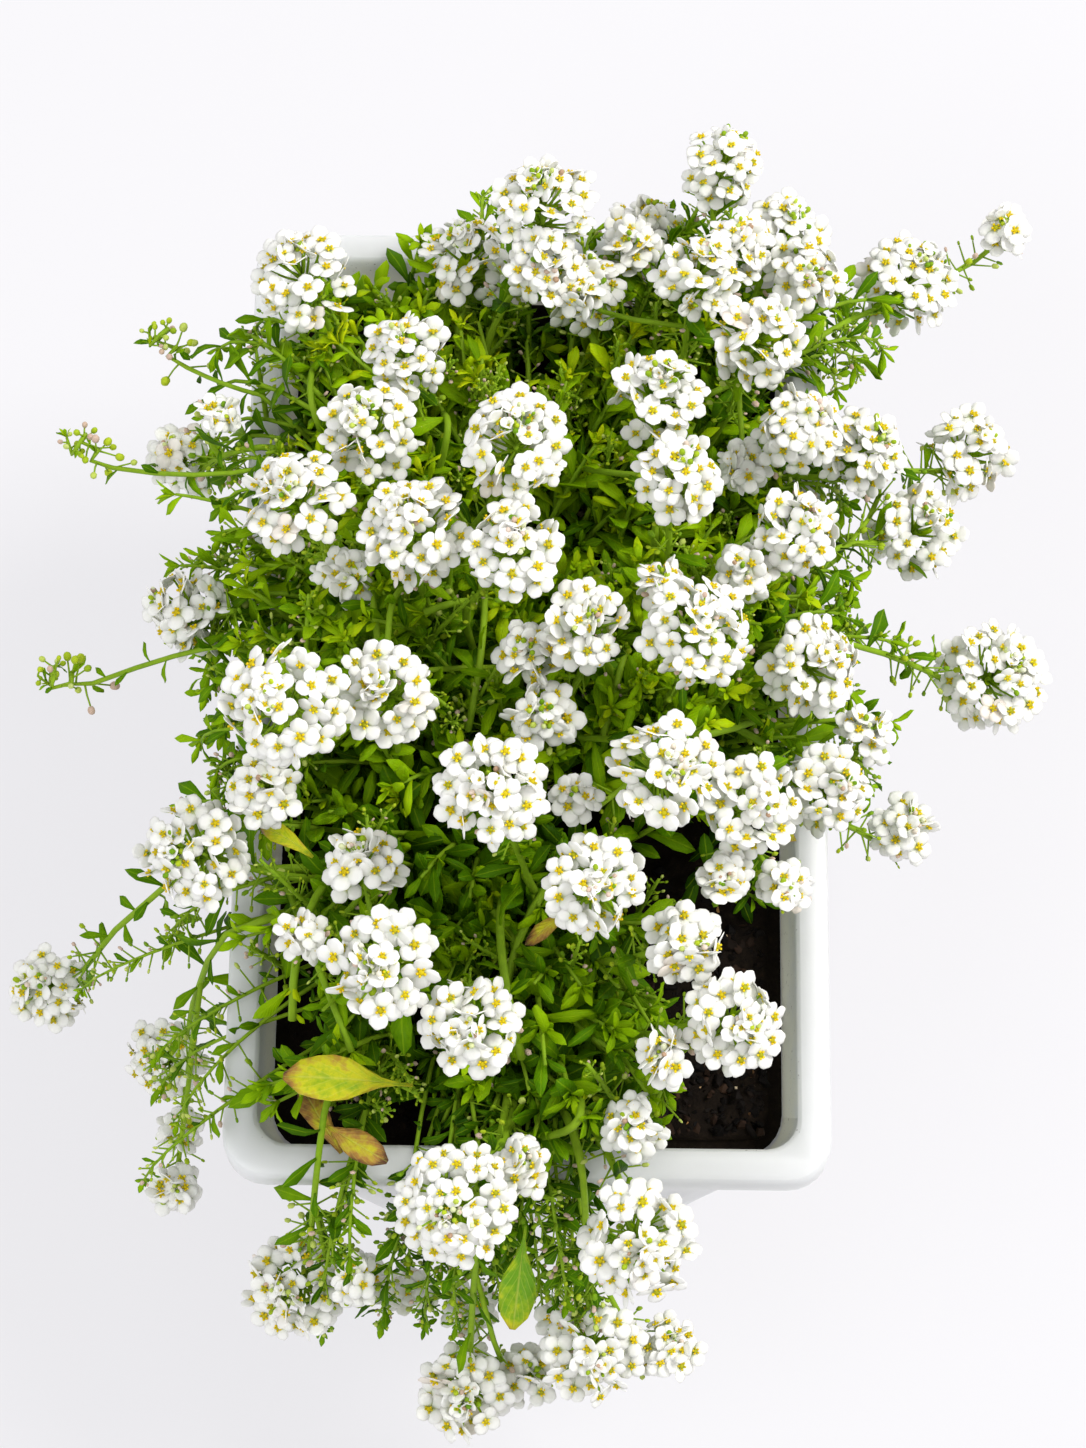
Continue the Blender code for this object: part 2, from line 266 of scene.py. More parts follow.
def gather(name, copies, material):
    """A piece that holds many copies; each starts with a shape, a matrix and a tint."""
    form = Shape.joined(copies)
    tints = np.repeat(np.array([copy[2] for copy in copies], np.float32),
                      [len(copy[0].points) for copy in copies])
    mesh = bpy.data.meshes.new(name)
    mesh.vertices.add(len(form.points))
    mesh.vertices.foreach_set("co", form.points.astype(np.float32).ravel())
    mesh.loops.add(len(form.corners))
    mesh.loops.foreach_set("vertex_index", form.corners)
    mesh.polygons.add(len(form.sizes))
    starts = np.concatenate(([0], np.cumsum(form.sizes)[:-1])).astype(np.int32)
    mesh.polygons.foreach_set("loop_start", starts)
    mesh.update(calc_edges=True)
    mesh.uv_layers.new(name="UVMap").data.foreach_set("uv", form.uvs.ravel())
    mesh.attributes.new("tint", "FLOAT", "POINT").data.foreach_set("value", tints)
    mesh.shade_smooth()
    thing = bpy.data.objects.new(name, mesh)
    bpy.context.scene.collection.objects.link(thing)
    return dress(thing, material)


def tubes(name, lines, material, sides=1):
    """A piece of round stems: lines are (points, radii) pairs; each stem is closed."""
    curve = bpy.data.curves.new(name, "CURVE")
    curve.dimensions = "3D"
    curve.bevel_depth = 1.0
    curve.bevel_resolution = sides
    curve.use_fill_caps = True
    for points, radii in lines:
        spline = curve.splines.new("POLY")
        spline.points.add(len(points) - 1)
        for spot, place, radius in zip(spline.points, points, radii):
            spot.co = (place[0], place[1], place[2], 1.0)
            spot.radius = radius
    thing = bpy.data.objects.new(name, curve)
    bpy.context.scene.collection.objects.link(thing)
    only(thing)
    bpy.ops.object.convert(target="MESH")
    thing = bpy.context.view_layer.objects.active
    with editing():
        bpy.ops.mesh.remove_doubles(threshold=MERGE)
        bpy.ops.mesh.normals_make_consistent(inside=False)
    thing.data.shade_smooth()
    return dress(thing, material)


def placed(origin, along, facing, size):
    """Matrix that puts a form's base at origin, its +Y along a direction, +Z facing another."""
    y = Vector(along).normalized()
    z = Vector(facing) - y * y.dot(Vector(facing))
    if z.length < 1e-6:
        z = y.orthogonal()
    z.normalize()
    x = y.cross(z)
    turn = Matrix((x, y, z)).transposed().to_4x4()
    return Matrix.Translation(origin) @ turn @ Matrix.Scale(size, 4)


def bowed(start, bend, end, steps):
    """Points of a smooth bow from start to end, pulled towards bend."""
    line = []
    for step in range(steps + 1):
        t = step / steps
        line.append(start * (1 - t) ** 2 + bend * 2 * t * (1 - t) + end * t ** 2)
    return line


# ---------------------------------------------------------------- materials


class Nodes:
    """Short hand for building one material's nodes."""

    def __init__(self, name, roughness, specular=0.5):
        self.material = bpy.data.materials.new(name)
        self.material.use_nodes = True
        self.tree = self.material.node_tree
        self.shader = self.tree.nodes["Principled BSDF"]
        self.shader.inputs["Roughness"].default_value = roughness
        self.shader.inputs["Specular IOR Level"].default_value = specular

    def add(self, kind, links=()):
        node = self.tree.nodes.new(kind)
        for socket, source in links:
            self.tree.links.new(source, node.inputs[socket])
        return node

    def ramp(self, source, stops):
        """Colours by place; a single number stands for a grey."""
        node = self.add("ShaderNodeValToRGB", [("Fac", source)])
        while len(node.color_ramp.elements) < len(stops):
            node.color_ramp.elements.new(0.5)
        for element, (place, colour) in zip(node.color_ramp.elements, stops):
            element.position = place
            element.color = (*((colour,) * 3 if isinstance(colour, float) else colour), 1.0)
        return node.outputs["Color"]

    def mix(self, amount, first, second, blend="MIX"):
        node = self.add("ShaderNodeMix")
        node.data_type = "RGBA"
        node.blend_type = blend
        for index, value in ((0, amount), (6, first), (7, second)):
            socket = node.inputs[index]
            if isinstance(value, bpy.types.NodeSocket):
                self.tree.links.new(value, socket)
            elif index == 0:
                socket.default_value = value
            else:
                socket.default_value = (*value, 1.0)
        return node.outputs[2]

    def math(self, operation, *values):
        node = self.add("ShaderNodeMath")
        node.operation = operation
        for socket, value in zip(node.inputs, values):
            if isinstance(value, bpy.types.NodeSocket):
                self.tree.links.new(value, socket)
            else:
                socket.default_value = value
        return node.outputs[0]

    def plus(self, first, second):
        return self.math("ADD", first, second)

    def minus(self, first, second):
        return self.math("SUBTRACT", first, second)

    def times(self, first, second):
        return self.math("MULTIPLY", first, second)

    def swing(self, source, amount):
        """A noise round zero, up to half the amount to either side."""
        return self.times(self.minus(source, 0.5), amount)

    def off_middle(self, across):
        """How far from a blade's midrib, from nothing to half."""
        return self.math("ABSOLUTE", self.minus(across, 0.5))

    def side_veins(self, along, centre, number, slant):
        """Waves that run out from the midrib, turned towards the tip."""
        return self.math("SINE", self.plus(self.times(along, number),
                                           self.times(centre, -slant)))

    def through(self, weight, radius, depth):
        """Let light scatter below the surface."""
        self.shader.inputs["Subsurface Weight"].default_value = weight
        self.shader.inputs["Subsurface Radius"].default_value = radius
        self.shader.inputs["Subsurface Scale"].default_value = depth

    def place(self):
        return self.add("ShaderNodeTexCoord").outputs["Object"]

    def noise(self, scale, detail=3.0, rough=0.55):
        node = self.add("ShaderNodeTexNoise", [("Vector", self.place())])
        node.inputs["Scale"].default_value = scale
        node.inputs["Detail"].default_value = detail
        node.inputs["Roughness"].default_value = rough
        return node.outputs["Fac"]

    def attribute(self, name="tint"):
        node = self.add("ShaderNodeAttribute")
        node.attribute_name = name
        return node.outputs["Fac"]

    def uv(self):
        node = self.add("ShaderNodeUVMap")
        node.uv_map = "UVMap"
        split = self.add("ShaderNodeSeparateXYZ", [("Vector", node.outputs["UV"])])
        return split.outputs["X"], split.outputs["Y"]

    def bump(self, height, distance, strength=1.0):
        node = self.add("ShaderNodeBump", [("Height", height)])
        node.inputs["Strength"].default_value = strength
        node.inputs["Distance"].default_value = distance
        self.tree.links.new(node.outputs["Normal"], self.shader.inputs["Normal"])

    def colour(self, source):
        self.tree.links.new(source, self.shader.inputs["Base Color"])


def plastic_finish(settings):
    """Moulded plastic with fine grain, grime and a pale mineral crust inside, below the rim; the
    crust is paler than the plastic itself, as painted light on the shaded inner wall.
    """
    nodes = Nodes("tray_plastic", settings.roughness, 0.45)
    split = nodes.add("ShaderNodeSeparateXYZ", [("Vector", nodes.place())])
    height = split.outputs["Z"]
    half_x, half_y = TRAY_HIGH.x - WALL - 0.6 * MM, TRAY_HIGH.y - WALL - 0.6 * MM
    across = nodes.math("DIVIDE", nodes.math("ABSOLUTE", split.outputs["X"]), half_x)
    length = nodes.math("DIVIDE", nodes.math("ABSOLUTE", split.outputs["Y"]), half_y)
    within = nodes.math("LESS_THAN", nodes.math("MAXIMUM", across, length), 1.0)
    above = nodes.math("GREATER_THAN", height, SOIL_HIGH.z - 4 * MM)
    inside = nodes.times(nodes.times(within, above), nodes.attribute("inward"))
    # towards the soil the inner wall turns to that pale colour: a real mineral crust, and painted
    # light on the shaded wall
    below = nodes.math("DIVIDE", nodes.minus(RIM, height), 13 * MM)
    creep = nodes.plus(below, nodes.swing(nodes.noise(110.0, 5.0, 0.65), 2.2))
    amount = nodes.math("MINIMUM", nodes.math("MAXIMUM", creep, 0.0), 0.85)
    grime = nodes.ramp(nodes.noise(26.0, 4.0), [(0.35, 0.97), (0.7, 1.0)])
    plain = nodes.mix(1.0, settings.plastic, grime, "MULTIPLY")
    stained_and_painted_light = nodes.mix(nodes.times(amount, inside), plain, settings.stain_and_painted_light)
    fleck = nodes.ramp(nodes.noise(900.0, 2.0, 0.6), [(0.66, 0.0), (0.76, 1.0)])
    specks = nodes.times(fleck, nodes.times(inside, 0.8))
    nodes.colour(nodes.mix(specks, stained_and_painted_light, (0.07, 0.045, 0.025)))
    nodes.through(0.85, (1.0, 1.0, 0.96), 10 * MM)
    nodes.bump(nodes.noise(1500.0, 2.0), 0.03 * MM, 0.3)
    return nodes.material


def soil_finish(settings):
    """Wet potting mix, paler where the grain stands up."""
    nodes = Nodes("potting_mix", 0.85, 0.08)
    grain = nodes.noise(420.0, 6.0, 0.7)
    patch = nodes.noise(60.0, 3.0)
    base = nodes.ramp(grain, [(0.35, settings.wet), (0.62, (0.015, 0.010, 0.0065)),
                              (0.8, settings.dry)])
    nodes.colour(nodes.mix(nodes.times(patch, 0.6), base, settings.wet))
    nodes.bump(grain, 0.8 * MM, 0.9)
    return nodes.material


def crumb_finish():
    """Crumbs: mostly dark, some bark brown, a few pale grit, chosen by each one's tint."""
    nodes = Nodes("soil_crumbs", 0.75, 0.12)
    pick = nodes.ramp(nodes.attribute(), [
        (0.0, (0.003, 0.002, 0.0018)), (0.5, (0.008, 0.005, 0.0035)),
        (0.8, (0.036, 0.018, 0.010)), (0.9, (0.50, 0.26, 0.09)), (1.0, (0.75, 0.62, 0.42))])
    shade = nodes.ramp(nodes.noise(800.0, 4.0), [(0.3, 0.6), (0.7, 1.0)])
    nodes.colour(nodes.mix(1.0, pick, shade, "MULTIPLY"))
    nodes.bump(nodes.noise(1400.0, 3.0), 0.2 * MM, 0.6)
    return nodes.material


def leaf_finish(settings):
    """Leaf green by tint, which follows how old the leaf is and also carries painted shade on deep
    and low leaves and painted light on the rear clumps; with a paler midrib, faint side veins and
    mottling.
    """
    nodes = Nodes("leaf", 0.45, 0.05)
    across, along = nodes.uv()
    tone = nodes.plus(nodes.attribute(), nodes.swing(nodes.noise(330.0, 4.0), 0.25))
    # the darkest stop is painted shade, for leaves tinted low deep in a clump or near the soil
    green = nodes.ramp(tone, [(0.0, (0.016, 0.055, 0.0005)), (0.35, settings.grown),
                             (0.70, settings.young), (0.97, (0.52, 0.60, 0.004))])
    centre = nodes.off_middle(across)
    rib = nodes.ramp(centre, [(0.0, 1.0), (0.07, 0.0)])
    nodes.colour(nodes.mix(nodes.times(rib, 0.35), green, (0.38, 0.54, 0.012)))
    nodes.through(0.12, (0.3, 0.6, 0.1), 1 * MM)
    veins = nodes.side_veins(along, centre, 60.0, 40.0)
    nodes.bump(nodes.plus(nodes.times(veins, 0.25), nodes.times(rib, -1.0)), 0.12 * MM, 0.6)
    return nodes.material


def dry_leaf_finish():
    """Leaves that turn from green by the midrib to yellow, then brown from the tip."""
    nodes = Nodes("dry_leaf", 0.5, 0.2)
    across, along = nodes.uv()
    centre = nodes.off_middle(across)
    spread = nodes.swing(nodes.noise(300.0, 5.0, 0.65), 1.1)
    tip = nodes.times(nodes.math("POWER", along, 9.0), 0.5)
    edge = nodes.times(nodes.math("POWER", centre, 2.0), 0.7)
    tone = nodes.plus(nodes.plus(nodes.attribute(), spread), nodes.plus(tip, edge))
    body = nodes.ramp(tone, [
        (0.0, (0.13, 0.30, 0.006)), (0.18, (0.26, 0.40, 0.008)), (0.42, (0.58, 0.56, 0.012)),
        (0.68, (0.42, 0.22, 0.04)), (0.95, (0.13, 0.055, 0.03))])
    veins = nodes.side_veins(along, centre, 44.0, 34.0)
    rib = nodes.ramp(centre, [(0.0, 1.0), (0.05, 0.0)])
    lines = nodes.times(nodes.math("GREATER_THAN", veins, 0.93), 0.5)
    lined = nodes.math("MAXIMUM", rib, lines)
    nodes.colour(nodes.mix(nodes.times(lined, 0.45), body, (0.60, 0.62, 0.10)))
    nodes.bump(nodes.minus(nodes.times(veins, 0.25), rib), 0.2 * MM, 0.7)
    return nodes.material


def petal_finish(settings):
    """White petal, greenish at its claw, with faint veins; a high tint is a fading one."""
    nodes = Nodes("petal", 0.5, 0.3)
    across, along = nodes.uv()
    claw = nodes.ramp(along, [(0.04, (0.50, 0.58, 0.20)), (0.22, (0.80, 0.82, 0.74)),
                              (0.5, settings.petal)])
    fade = nodes.ramp(nodes.attribute(), [(0.86, 0.0), (1.0, 1.0)])
    nodes.colour(nodes.mix(nodes.times(fade, 0.6), claw, (0.78, 0.64, 0.52)))
    nodes.through(0.06, (1.0, 1.0, 0.95), 1.2 * MM)
    nodes.bump(nodes.math("SINE", nodes.times(across, 48.0)), 0.012 * MM, 0.25)
    return nodes.material


def centre_finish(settings):
    """Anthers yellow, the middle green: the tint picks between them."""
    nodes = Nodes("flower_centre", 0.6, 0.2)
    grain = nodes.ramp(nodes.noise(2600.0, 2.0), [(0.3, 0.84), (0.7, 1.0)])
    pick = nodes.ramp(nodes.attribute(), [(0.0, (0.28, 0.35, 0.01)), (0.5, settings.anther),
                                          (1.0, (0.97, 0.78, 0.02))])
    nodes.colour(nodes.mix(1.0, pick, grain, "MULTIPLY"))
    return nodes.material


def bud_finish():
    """Closed buds, green through cream to a faded pink by tint."""
    nodes = Nodes("bud", 0.5, 0.15)
    pick = nodes.ramp(nodes.attribute(), [
        (0.0, (0.15, 0.32, 0.005)), (0.4, (0.48, 0.60, 0.02)), (0.7, (0.88, 0.88, 0.70)),
        (0.9, (0.80, 0.62, 0.52)), (1.0, (0.42, 0.24, 0.12))])
    grain = nodes.ramp(nodes.noise(1500.0, 3.0), [(0.3, 0.8), (0.7, 1.0)])
    nodes.colour(nodes.mix(1.0, pick, grain, "MULTIPLY"))
    return nodes.material


def stem_finish(settings):
    """Streaked green stem with paler lengths."""
    nodes = Nodes("stem", 0.5, 0.09)
    streak = nodes.noise(500.0, 3.0)
    patch = nodes.noise(45.0, 2.0)
    green = nodes.ramp(streak, [(0.3, (0.12, 0.25, 0.006)), (0.7, settings.stem)])
    nodes.colour(nodes.mix(nodes.times(patch, 0.7), green, (0.36, 0.50, 0.03)))
    nodes.bump(streak, 0.1 * MM, 0.3)
    return nodes.material


# ---------------------------------------------------------------- modelled forms


def strip(name, columns, rows, profile, edge_lift, thickness):
    """A thin closed blade along +Y from the origin, one unit long.

    profile gives each row a width, a lift and how far its middle stands ahead of its
    ends; edge_lift raises (or lowers) the two long edges against the middle.
    """
    bpy.ops.object.select_all(action="DESELECT")
    bpy.ops.mesh.primitive_grid_add(x_subdivisions=columns, y_subdivisions=rows, size=1.0,
                                    location=(0.0, 0.5, 0.0))
    thing = bpy.context.view_layer.objects.active
    thing.name = name
    bpy.ops.object.transform_apply(location=True)
    levels = sorted({round(vertex.co.y, 4) for vertex in thing.data.vertices})
    bpy.ops.object.mode_set(mode="EDIT")
    for level, (width, lift, _) in zip(levels, profile):
        mesh = bmesh.from_edit_mesh(thing.data)
        for vertex in mesh.verts:
            vertex.select_set(abs(vertex.co.y - level) < 0.01)
        mesh.select_flush_mode()
        bmesh.update_edit_mesh(thing.data)
        bpy.ops.transform.resize(value=(width, 1.0, 1.0))
        bpy.ops.transform.translate(value=(0.0, 0.0, lift))
    bpy.ops.object.mode_set(mode="OBJECT")
    for vertex in thing.data.vertices:
        row = min(range(len(levels)), key=lambda i: abs(levels[i] - vertex.co.y))
        width, _, shift = profile[row]
        out = abs(vertex.co.x) * 2
        vertex.co.z += edge_lift * out * out
        vertex.co.y += shift * (0.4 - min(1.0, out / max(width, 1e-6)))
    finish_modifier(thing, "SOLIDIFY", thickness=thickness, offset=0.0)
    return thing


def blob(name, segments, rings, size):
    """A small round form standing on the origin, rising along +Y."""
    bpy.ops.object.select_all(action="DESELECT")
    bpy.ops.mesh.primitive_uv_sphere_add(segments=segments, ring_count=rings, radius=0.5,
                                         location=(0.0, 0.0, 0.5))
    thing = bpy.context.view_layer.objects.active
    thing.name = name
    with editing():
        bpy.ops.transform.resize(value=size)
    bpy.ops.object.transform_apply(location=True)
    for vertex in thing.data.vertices:
        vertex.co = Vector((vertex.co.x, vertex.co.z, -vertex.co.y))
    return thing


def petal_shape(curl, width):
    """Broad round petal on a short claw; curl lifts or drops its tip."""
    profile = [(0.36 * width, 0.0, 0.0), (0.80 * width, 0.015, 0.0),
               (1.0 * width, 0.03 + curl * 0.3, 0.0), (1.03 * width, 0.025 + curl * 0.7, 0.0),
               (0.88 * width, 0.0 + curl * 1.1, 0.02), (0.44 * width, -0.04 + curl * 1.5, 0.13)]
    return Shape.of(strip("petal", 3, 5, profile, -0.05, 0.04))


def flower_shape(petals, spread, chance):
    """Four petals in a cross on a flower that faces +Z; spread lifts them when under one."""
    copies = []
    for quarter in range(4):
        turn = quarter * math.pi / 2 + chance.uniform(-0.10, 0.10)
        lift = math.radians(78) * (1 - spread) + chance.uniform(-0.06, 0.12)
        size = chance.uniform(0.93, 1.05)
        roll = chance.uniform(-0.18, 0.18)
        matrix = (Matrix.Rotation(turn, 4, "Z") @ Matrix.Rotation(lift, 4, "X")
                  @ Matrix.Translation((0.0, 0.07, 0.012 * quarter))
                  @ Matrix.Rotation(roll, 4, "Y") @ Matrix.Scale(size, 4))
        copies.append((chance.choice(petals), matrix))
    return Shape.joined(copies)


def leaf_shape(width, droop, fold):
    """Narrow at its foot and widest past the middle, with a blunt tip."""
    profile = [(0.14 * width, 0.0, 0.0), (0.42 * width, 0.03 - droop * 0.03, 0.0),
               (0.82 * width, 0.06 - droop * 0.20, 0.0), (1.05 * width, 0.05 - droop * 0.55, 0.03),
               (0.60 * width, 0.03 - droop, 0.14)]
    return Shape.of(strip("leaf", 2, 4, profile, fold, 0.02))


# ---------------------------------------------------------------- reading the frame


def node_points(name):
    points = np.array([vertex.co[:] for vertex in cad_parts[name].data.vertices])
    return np.unique(points.round(6), axis=0)


def ring_middles(points, reach):
    """Middles of the small rings of points that make up a thin stem."""
    left = list(range(len(points)))
    middles = []
    while left:
        seed = left[0]
        near = [i for i in left if np.linalg.norm(points[i] - points[seed]) < reach]
        middles.append(Vector(points[near].mean(0)))
        left = [i for i in left if i not in near]
    return middles


def ordered_from(start, spots):
    """Points in the order met when walking from start to the nearest one each time."""
    line, spots, here = [], list(spots), start
    while spots:
        nearest = min(spots, key=lambda spot: (spot - here).length)
        spots.remove(nearest)
        line.append(nearest)
        here = nearest
    return line


def line_length(line):
    return sum((b - a).length for a, b in zip(line, line[1:]))


def spot_along(line, distance):
    """The point at a distance along a line, and the line's direction there."""
    for a, b in zip(line, line[1:]):
        step = (b - a).length
        if distance <= step and step > 0:
            break
        distance -= step
    step = max(step, 1e-9)
    return a + (b - a) * min(1.0, distance / step), (b - a).normalized()


class Head:
    """One flower head of the frame: its middle, axis, radius and the line of its stalk."""

    def __init__(self, node):
        self.node = node
        points = node_points(node)
        gaps = np.linalg.norm(points[:, None] - points[None], axis=2)
        thin = (gaps < STALK_REACH).sum(1) >= 6
        dome, stalk = points[~thin], points[thin]
        centre = Vector(dome.mean(0))
        self.line = ordered_from(centre, ring_middles(stalk, STALK_REACH))
        self.axis = (centre - self.line[0]).normalized()
        offsets = dome - np.array(centre)
        along = offsets @ np.array(self.axis)
        self.radius = float(np.linalg.norm(offsets - along[:, None] * np.array(self.axis),
                                           axis=1).max()) / 0.98
        self.middle = centre + self.axis * self.radius * 0.08

    @classmethod
    def beside(cls, parent, offset, radius):
        """A smaller head on a side shoot of another head's stalk."""
        head = cls.__new__(cls)
        head.node = None
        head.radius = radius * MM
        head.middle = parent.middle + Vector(offset) * MM
        out = Vector((offset[0], offset[1], 0.0)).normalized()
        head.axis = (UP + out * 0.35).normalized()
        foot = head.middle - head.axis * head.radius * 1.1
        joint, _ = spot_along(parent.line, 0.6 * line_length(parent.line))
        head.line = bowed(foot, foot - head.axis * 9 * MM, joint, 3)
        return head


HEADS = [Head(node) for node in HEAD_NODES]
SIDE_HEADS = [Head.beside(HEADS[parent - 1], offset, radius) for parent, offset, radius in (
    (26, (-9, -15, -15), 8.0), (38, (-4, 27, -13), 8.0), (10, (21, 13, -5), 5.5),
    (19, (11, -10, -20), 6.5), (26, (-12, -3, -10), 7.0), (22, (-12, -9, -5), 6.0),
    (35, (19, 7, -45), 7.5), (29, (-4, -5, -37), 8.0), (44, (13, 12, -10), 6.5),
    (41, (-21, -16, -20), 7.0), (38, (-16, 12, -18), 4.5), (27, (-8, 13, -8), 4.5),
    (41, (-15, -5, -5), 6.0), (34, (-6, -12, -10), 5.0), (34, (7, -12, -15), 5.5),
    (43, (5, -14, -10), 5.0), (46, (14, 9, -25), 4.5), (43, (4, -27, -10), 5.0),
    (33, (-18, 0, -19), 4.5), (24, (12, -2, 25), 4.5), (2, (1, -16, -6), 8.5),
    (8, (-26, -2, -12), 4.0), (9, (-4, -22, -22), 4.5), (8, (8, 8, -6), 8.0),
    (4, (4, -14, 4), 8.0), (17, (-6, 7, -18), 6.5), (23, (-12, 12, 8), 7.0),
    (35, (7, 15, -8), 6.0), (7, (10, 10, -4), 6.5), (6, (12, -4, -4), 5.0),
    (47, (14, 6, -4), 7.0), (48, (16, 4, -6), 7.5), (46, (14, 2, 6), 6.0),
    (47, (1, 21, -5), 5.0), (47, (-12, 26, -9), 4.5), (48, (-7, 11, -14), 5.5))]


def bud_line(node):
    """The line of a bud stalk, from its tip to its foot."""
    points = node_points(node)
    centre = Vector((0.0, 0.0, RIM))
    tip = max((Vector(point) for point in points), key=lambda spot: (spot - centre).length)
    return ordered_from(tip, ring_middles(points, BUD_STALK_REACH))


def plant_root(point):
    """Where on the soil a stem that ends at point grows from."""
    reach_x = (SOIL_HIGH.x - SOIL_LOW.x) / 2 * 0.72
    reach_y = (SOIL_HIGH.y - SOIL_LOW.y) / 2 * 0.80
    x = max(-reach_x, min(reach_x, point.x * 0.55))
    y = max(-reach_y, min(reach_y, point.y * 0.72))
    if x > 0.0 and y < -SOIL_HIGH.y * 0.3:
        x *= 0.2
    return Vector((x, y, SOIL_HIGH.z - 1 * MM))


def is_bare(x, y):
    """Whether a place on the soil is one of the two that nothing grows on."""
    left, right, behind = BARE_REAR
    return (x > BARE_FRONT[0] and y < BARE_FRONT[1]) or (left < x < right and y > behind)


def cuts_wall(base, tip):
    """Whether something that grows from base to tip would pass through the tray's wall."""
    if min(base.z, tip.z) > RIM:
        return False
    inside = abs(base.x) < TRAY_HIGH.x - WALL and abs(base.y) < TRAY_HIGH.y - WALL
    if inside:
        return abs(tip.x) > SOIL_HIGH.x - 0.5 * MM or abs(tip.y) > SOIL_HIGH.y - 0.5 * MM
    return abs(tip.x) < TRAY_HIGH.x - 2 * MM and abs(tip.y) < TRAY_HIGH.y - 2 * MM


# ---------------------------------------------------------------- operators


class ALYSSUM_OT_tray(bpy.types.Operator):
    """Round the tray's edges and give it white plastic, its inside below the rim a mineral crust
    plus painted light
    """
    bl_idname = "alyssum.tray"
    bl_label = "Tray"

    def execute(self, context):
        settings = context.scene.alyssum_tray
        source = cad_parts["tray"]
        tray = bpy.data.objects.new("planter_tray", source.data.copy())
        context.scene.collection.objects.link(tray)
        only(tray)
        with editing():
            bpy.ops.mesh.remove_doubles(threshold=MERGE)
            bpy.ops.mesh.dissolve_limited(angle_limit=math.radians(1.0))
        finish_modifier(tray, "BEVEL", width=settings.edge_round, segments=3,
                        limit_method="ANGLE", angle_limit=math.radians(40),
                        harden_normals=False)
        smooth(tray, 50)
        inward = tray.data.attributes.new("inward", "FLOAT", "FACE")
        for face in tray.data.polygons:
            out = Vector((face.center.x, face.center.y, 0.0)).normalized()
            inward.data[face.index].value = 1.0 if face.normal.dot(out) < -0.3 else 0.0
        dress(tray, plastic_finish(settings))
        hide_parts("tray")
        return {"FINISHED"}


class ALYSSUM_OT_soil(bpy.types.Operator):
    """Lumpy potting mix with crumbs, bark and grit on top"""
    bl_idname = "alyssum.soil"
    bl_label = "Soil"

    corner = 6 * MM
    half_x = SOIL_HIGH.x - 3 * MM
    half_y = SOIL_HIGH.y - 3 * MM
    cell = 2 * MM

    def execute(self, context):
        settings = context.scene.alyssum_soil
        finish = soil_finish(settings)
        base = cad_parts["soil"]
        base.data.materials.clear()
        base.data.materials.append(finish)
        surface = self.surface(settings)
        dress(surface, finish)
        heights = {}
        for vertex in surface.data.vertices:
            key = (round(vertex.co.x / self.cell), round(vertex.co.y / self.cell))
            heights[key] = max(heights.get(key, 0.0), vertex.co.z)
        copies = self.scattered(settings.crumbs, self.crumb_shapes(), heights)
        only(gather("soil_crumbs", copies, crumb_finish()))
        bpy.ops.object.shade_flat()
        return {"FINISHED"}

    def surface(self, settings):
        """A grid with round corners, raised in lumps and given a thickness."""
        bpy.ops.object.select_all(action="DESELECT")
        bpy.ops.mesh.primitive_grid_add(x_subdivisions=70, y_subdivisions=126, size=1.0,
                                        location=(0.0, 0.0, SOIL_HIGH.z + 0.9 * MM))
        surface = bpy.context.view_layer.objects.active
        surface.name = "soil_surface"
        with editing():
            bpy.ops.transform.resize(value=(self.half_x * 2, self.half_y * 2, 1.0))
        bpy.ops.object.transform_apply(location=True)
        straight_x, straight_y = self.half_x - self.corner, self.half_y - self.corner
        for vertex in surface.data.vertices:
            point = vertex.co
            out_x, out_y = abs(point.x) - straight_x, abs(point.y) - straight_y
            reach = math.hypot(out_x, out_y)
            if out_x > 0 and out_y > 0 and reach > self.corner:
                shrink = self.corner / reach
                point.x = math.copysign(straight_x + out_x * shrink, point.x)
                point.y = math.copysign(straight_y + out_y * shrink, point.y)
            spot = Vector((point.x, point.y, 0.0))
            lumps = noise.fractal(spot * 160, 0.7, 2.1, 5)
            swell = noise.noise(spot * 28)
            point.z += settings.lump * (0.42 * lumps + 0.35 * swell)
        finish_modifier(surface, "SOLIDIFY", thickness=3 * MM, offset=-1.0)
        smooth(surface)
        return surface

    def crumb_shapes(self):
        crumbs = []
        sizes = ((1, 1, 1), (1.9, 0.7, 0.4), (1.2, 0.9, 0.7), (1.0, 1.5, 0.8))
        for seed, size in enumerate(sizes, start=3):
            bpy.ops.object.select_all(action="DESELECT")
            bpy.ops.mesh.primitive_ico_sphere_add(subdivisions=1, radius=0.5)
            crumb = bpy.context.view_layer.objects.active
            with editing():
                bpy.ops.transform.resize(value=size)
                bpy.ops.transform.vertex_random(offset=0.16, uniform=0.3, seed=seed)
            crumbs.append(Shape.of(crumb))
        return crumbs

    def scattered(self, number, crumbs, heights):
        """Crumbs turned every way, thinner on the ground that the plant covers."""
        chance = random.Random(11)
        copies = []
        for _ in range(number):
            x = chance.uniform(-self.half_x, self.half_x) * 0.985
            y = chance.uniform(-self.half_y, self.half_y) * 0.985
            if not is_bare(x, y) and chance.random() < 0.8:
                continue
            key = (round(x / self.cell), round(y / self.cell))
            z = heights.get(key, SOIL_HIGH.z) - 0.3 * MM
            size = chance.choice((0.9, 1.2, 1.6, 2.0, 2.8)) * MM * chance.uniform(0.7, 1.3)
            tint = chance.random() ** 1.6 * 0.82
            if chance.random() < 0.035:
                tint = chance.uniform(0.88, 1.0)
                size = chance.uniform(0.7, 1.5) * MM
            turn = Quaternion(Vector([chance.gauss(0, 1) for _ in range(3)]).normalized(),
                              chance.uniform(0, math.pi)).to_matrix().to_4x4()
            copies.append((chance.choice(crumbs),
                           Matrix.Translation((x, y, z)) @ turn @ Matrix.Scale(size, 4), tint))
        return copies


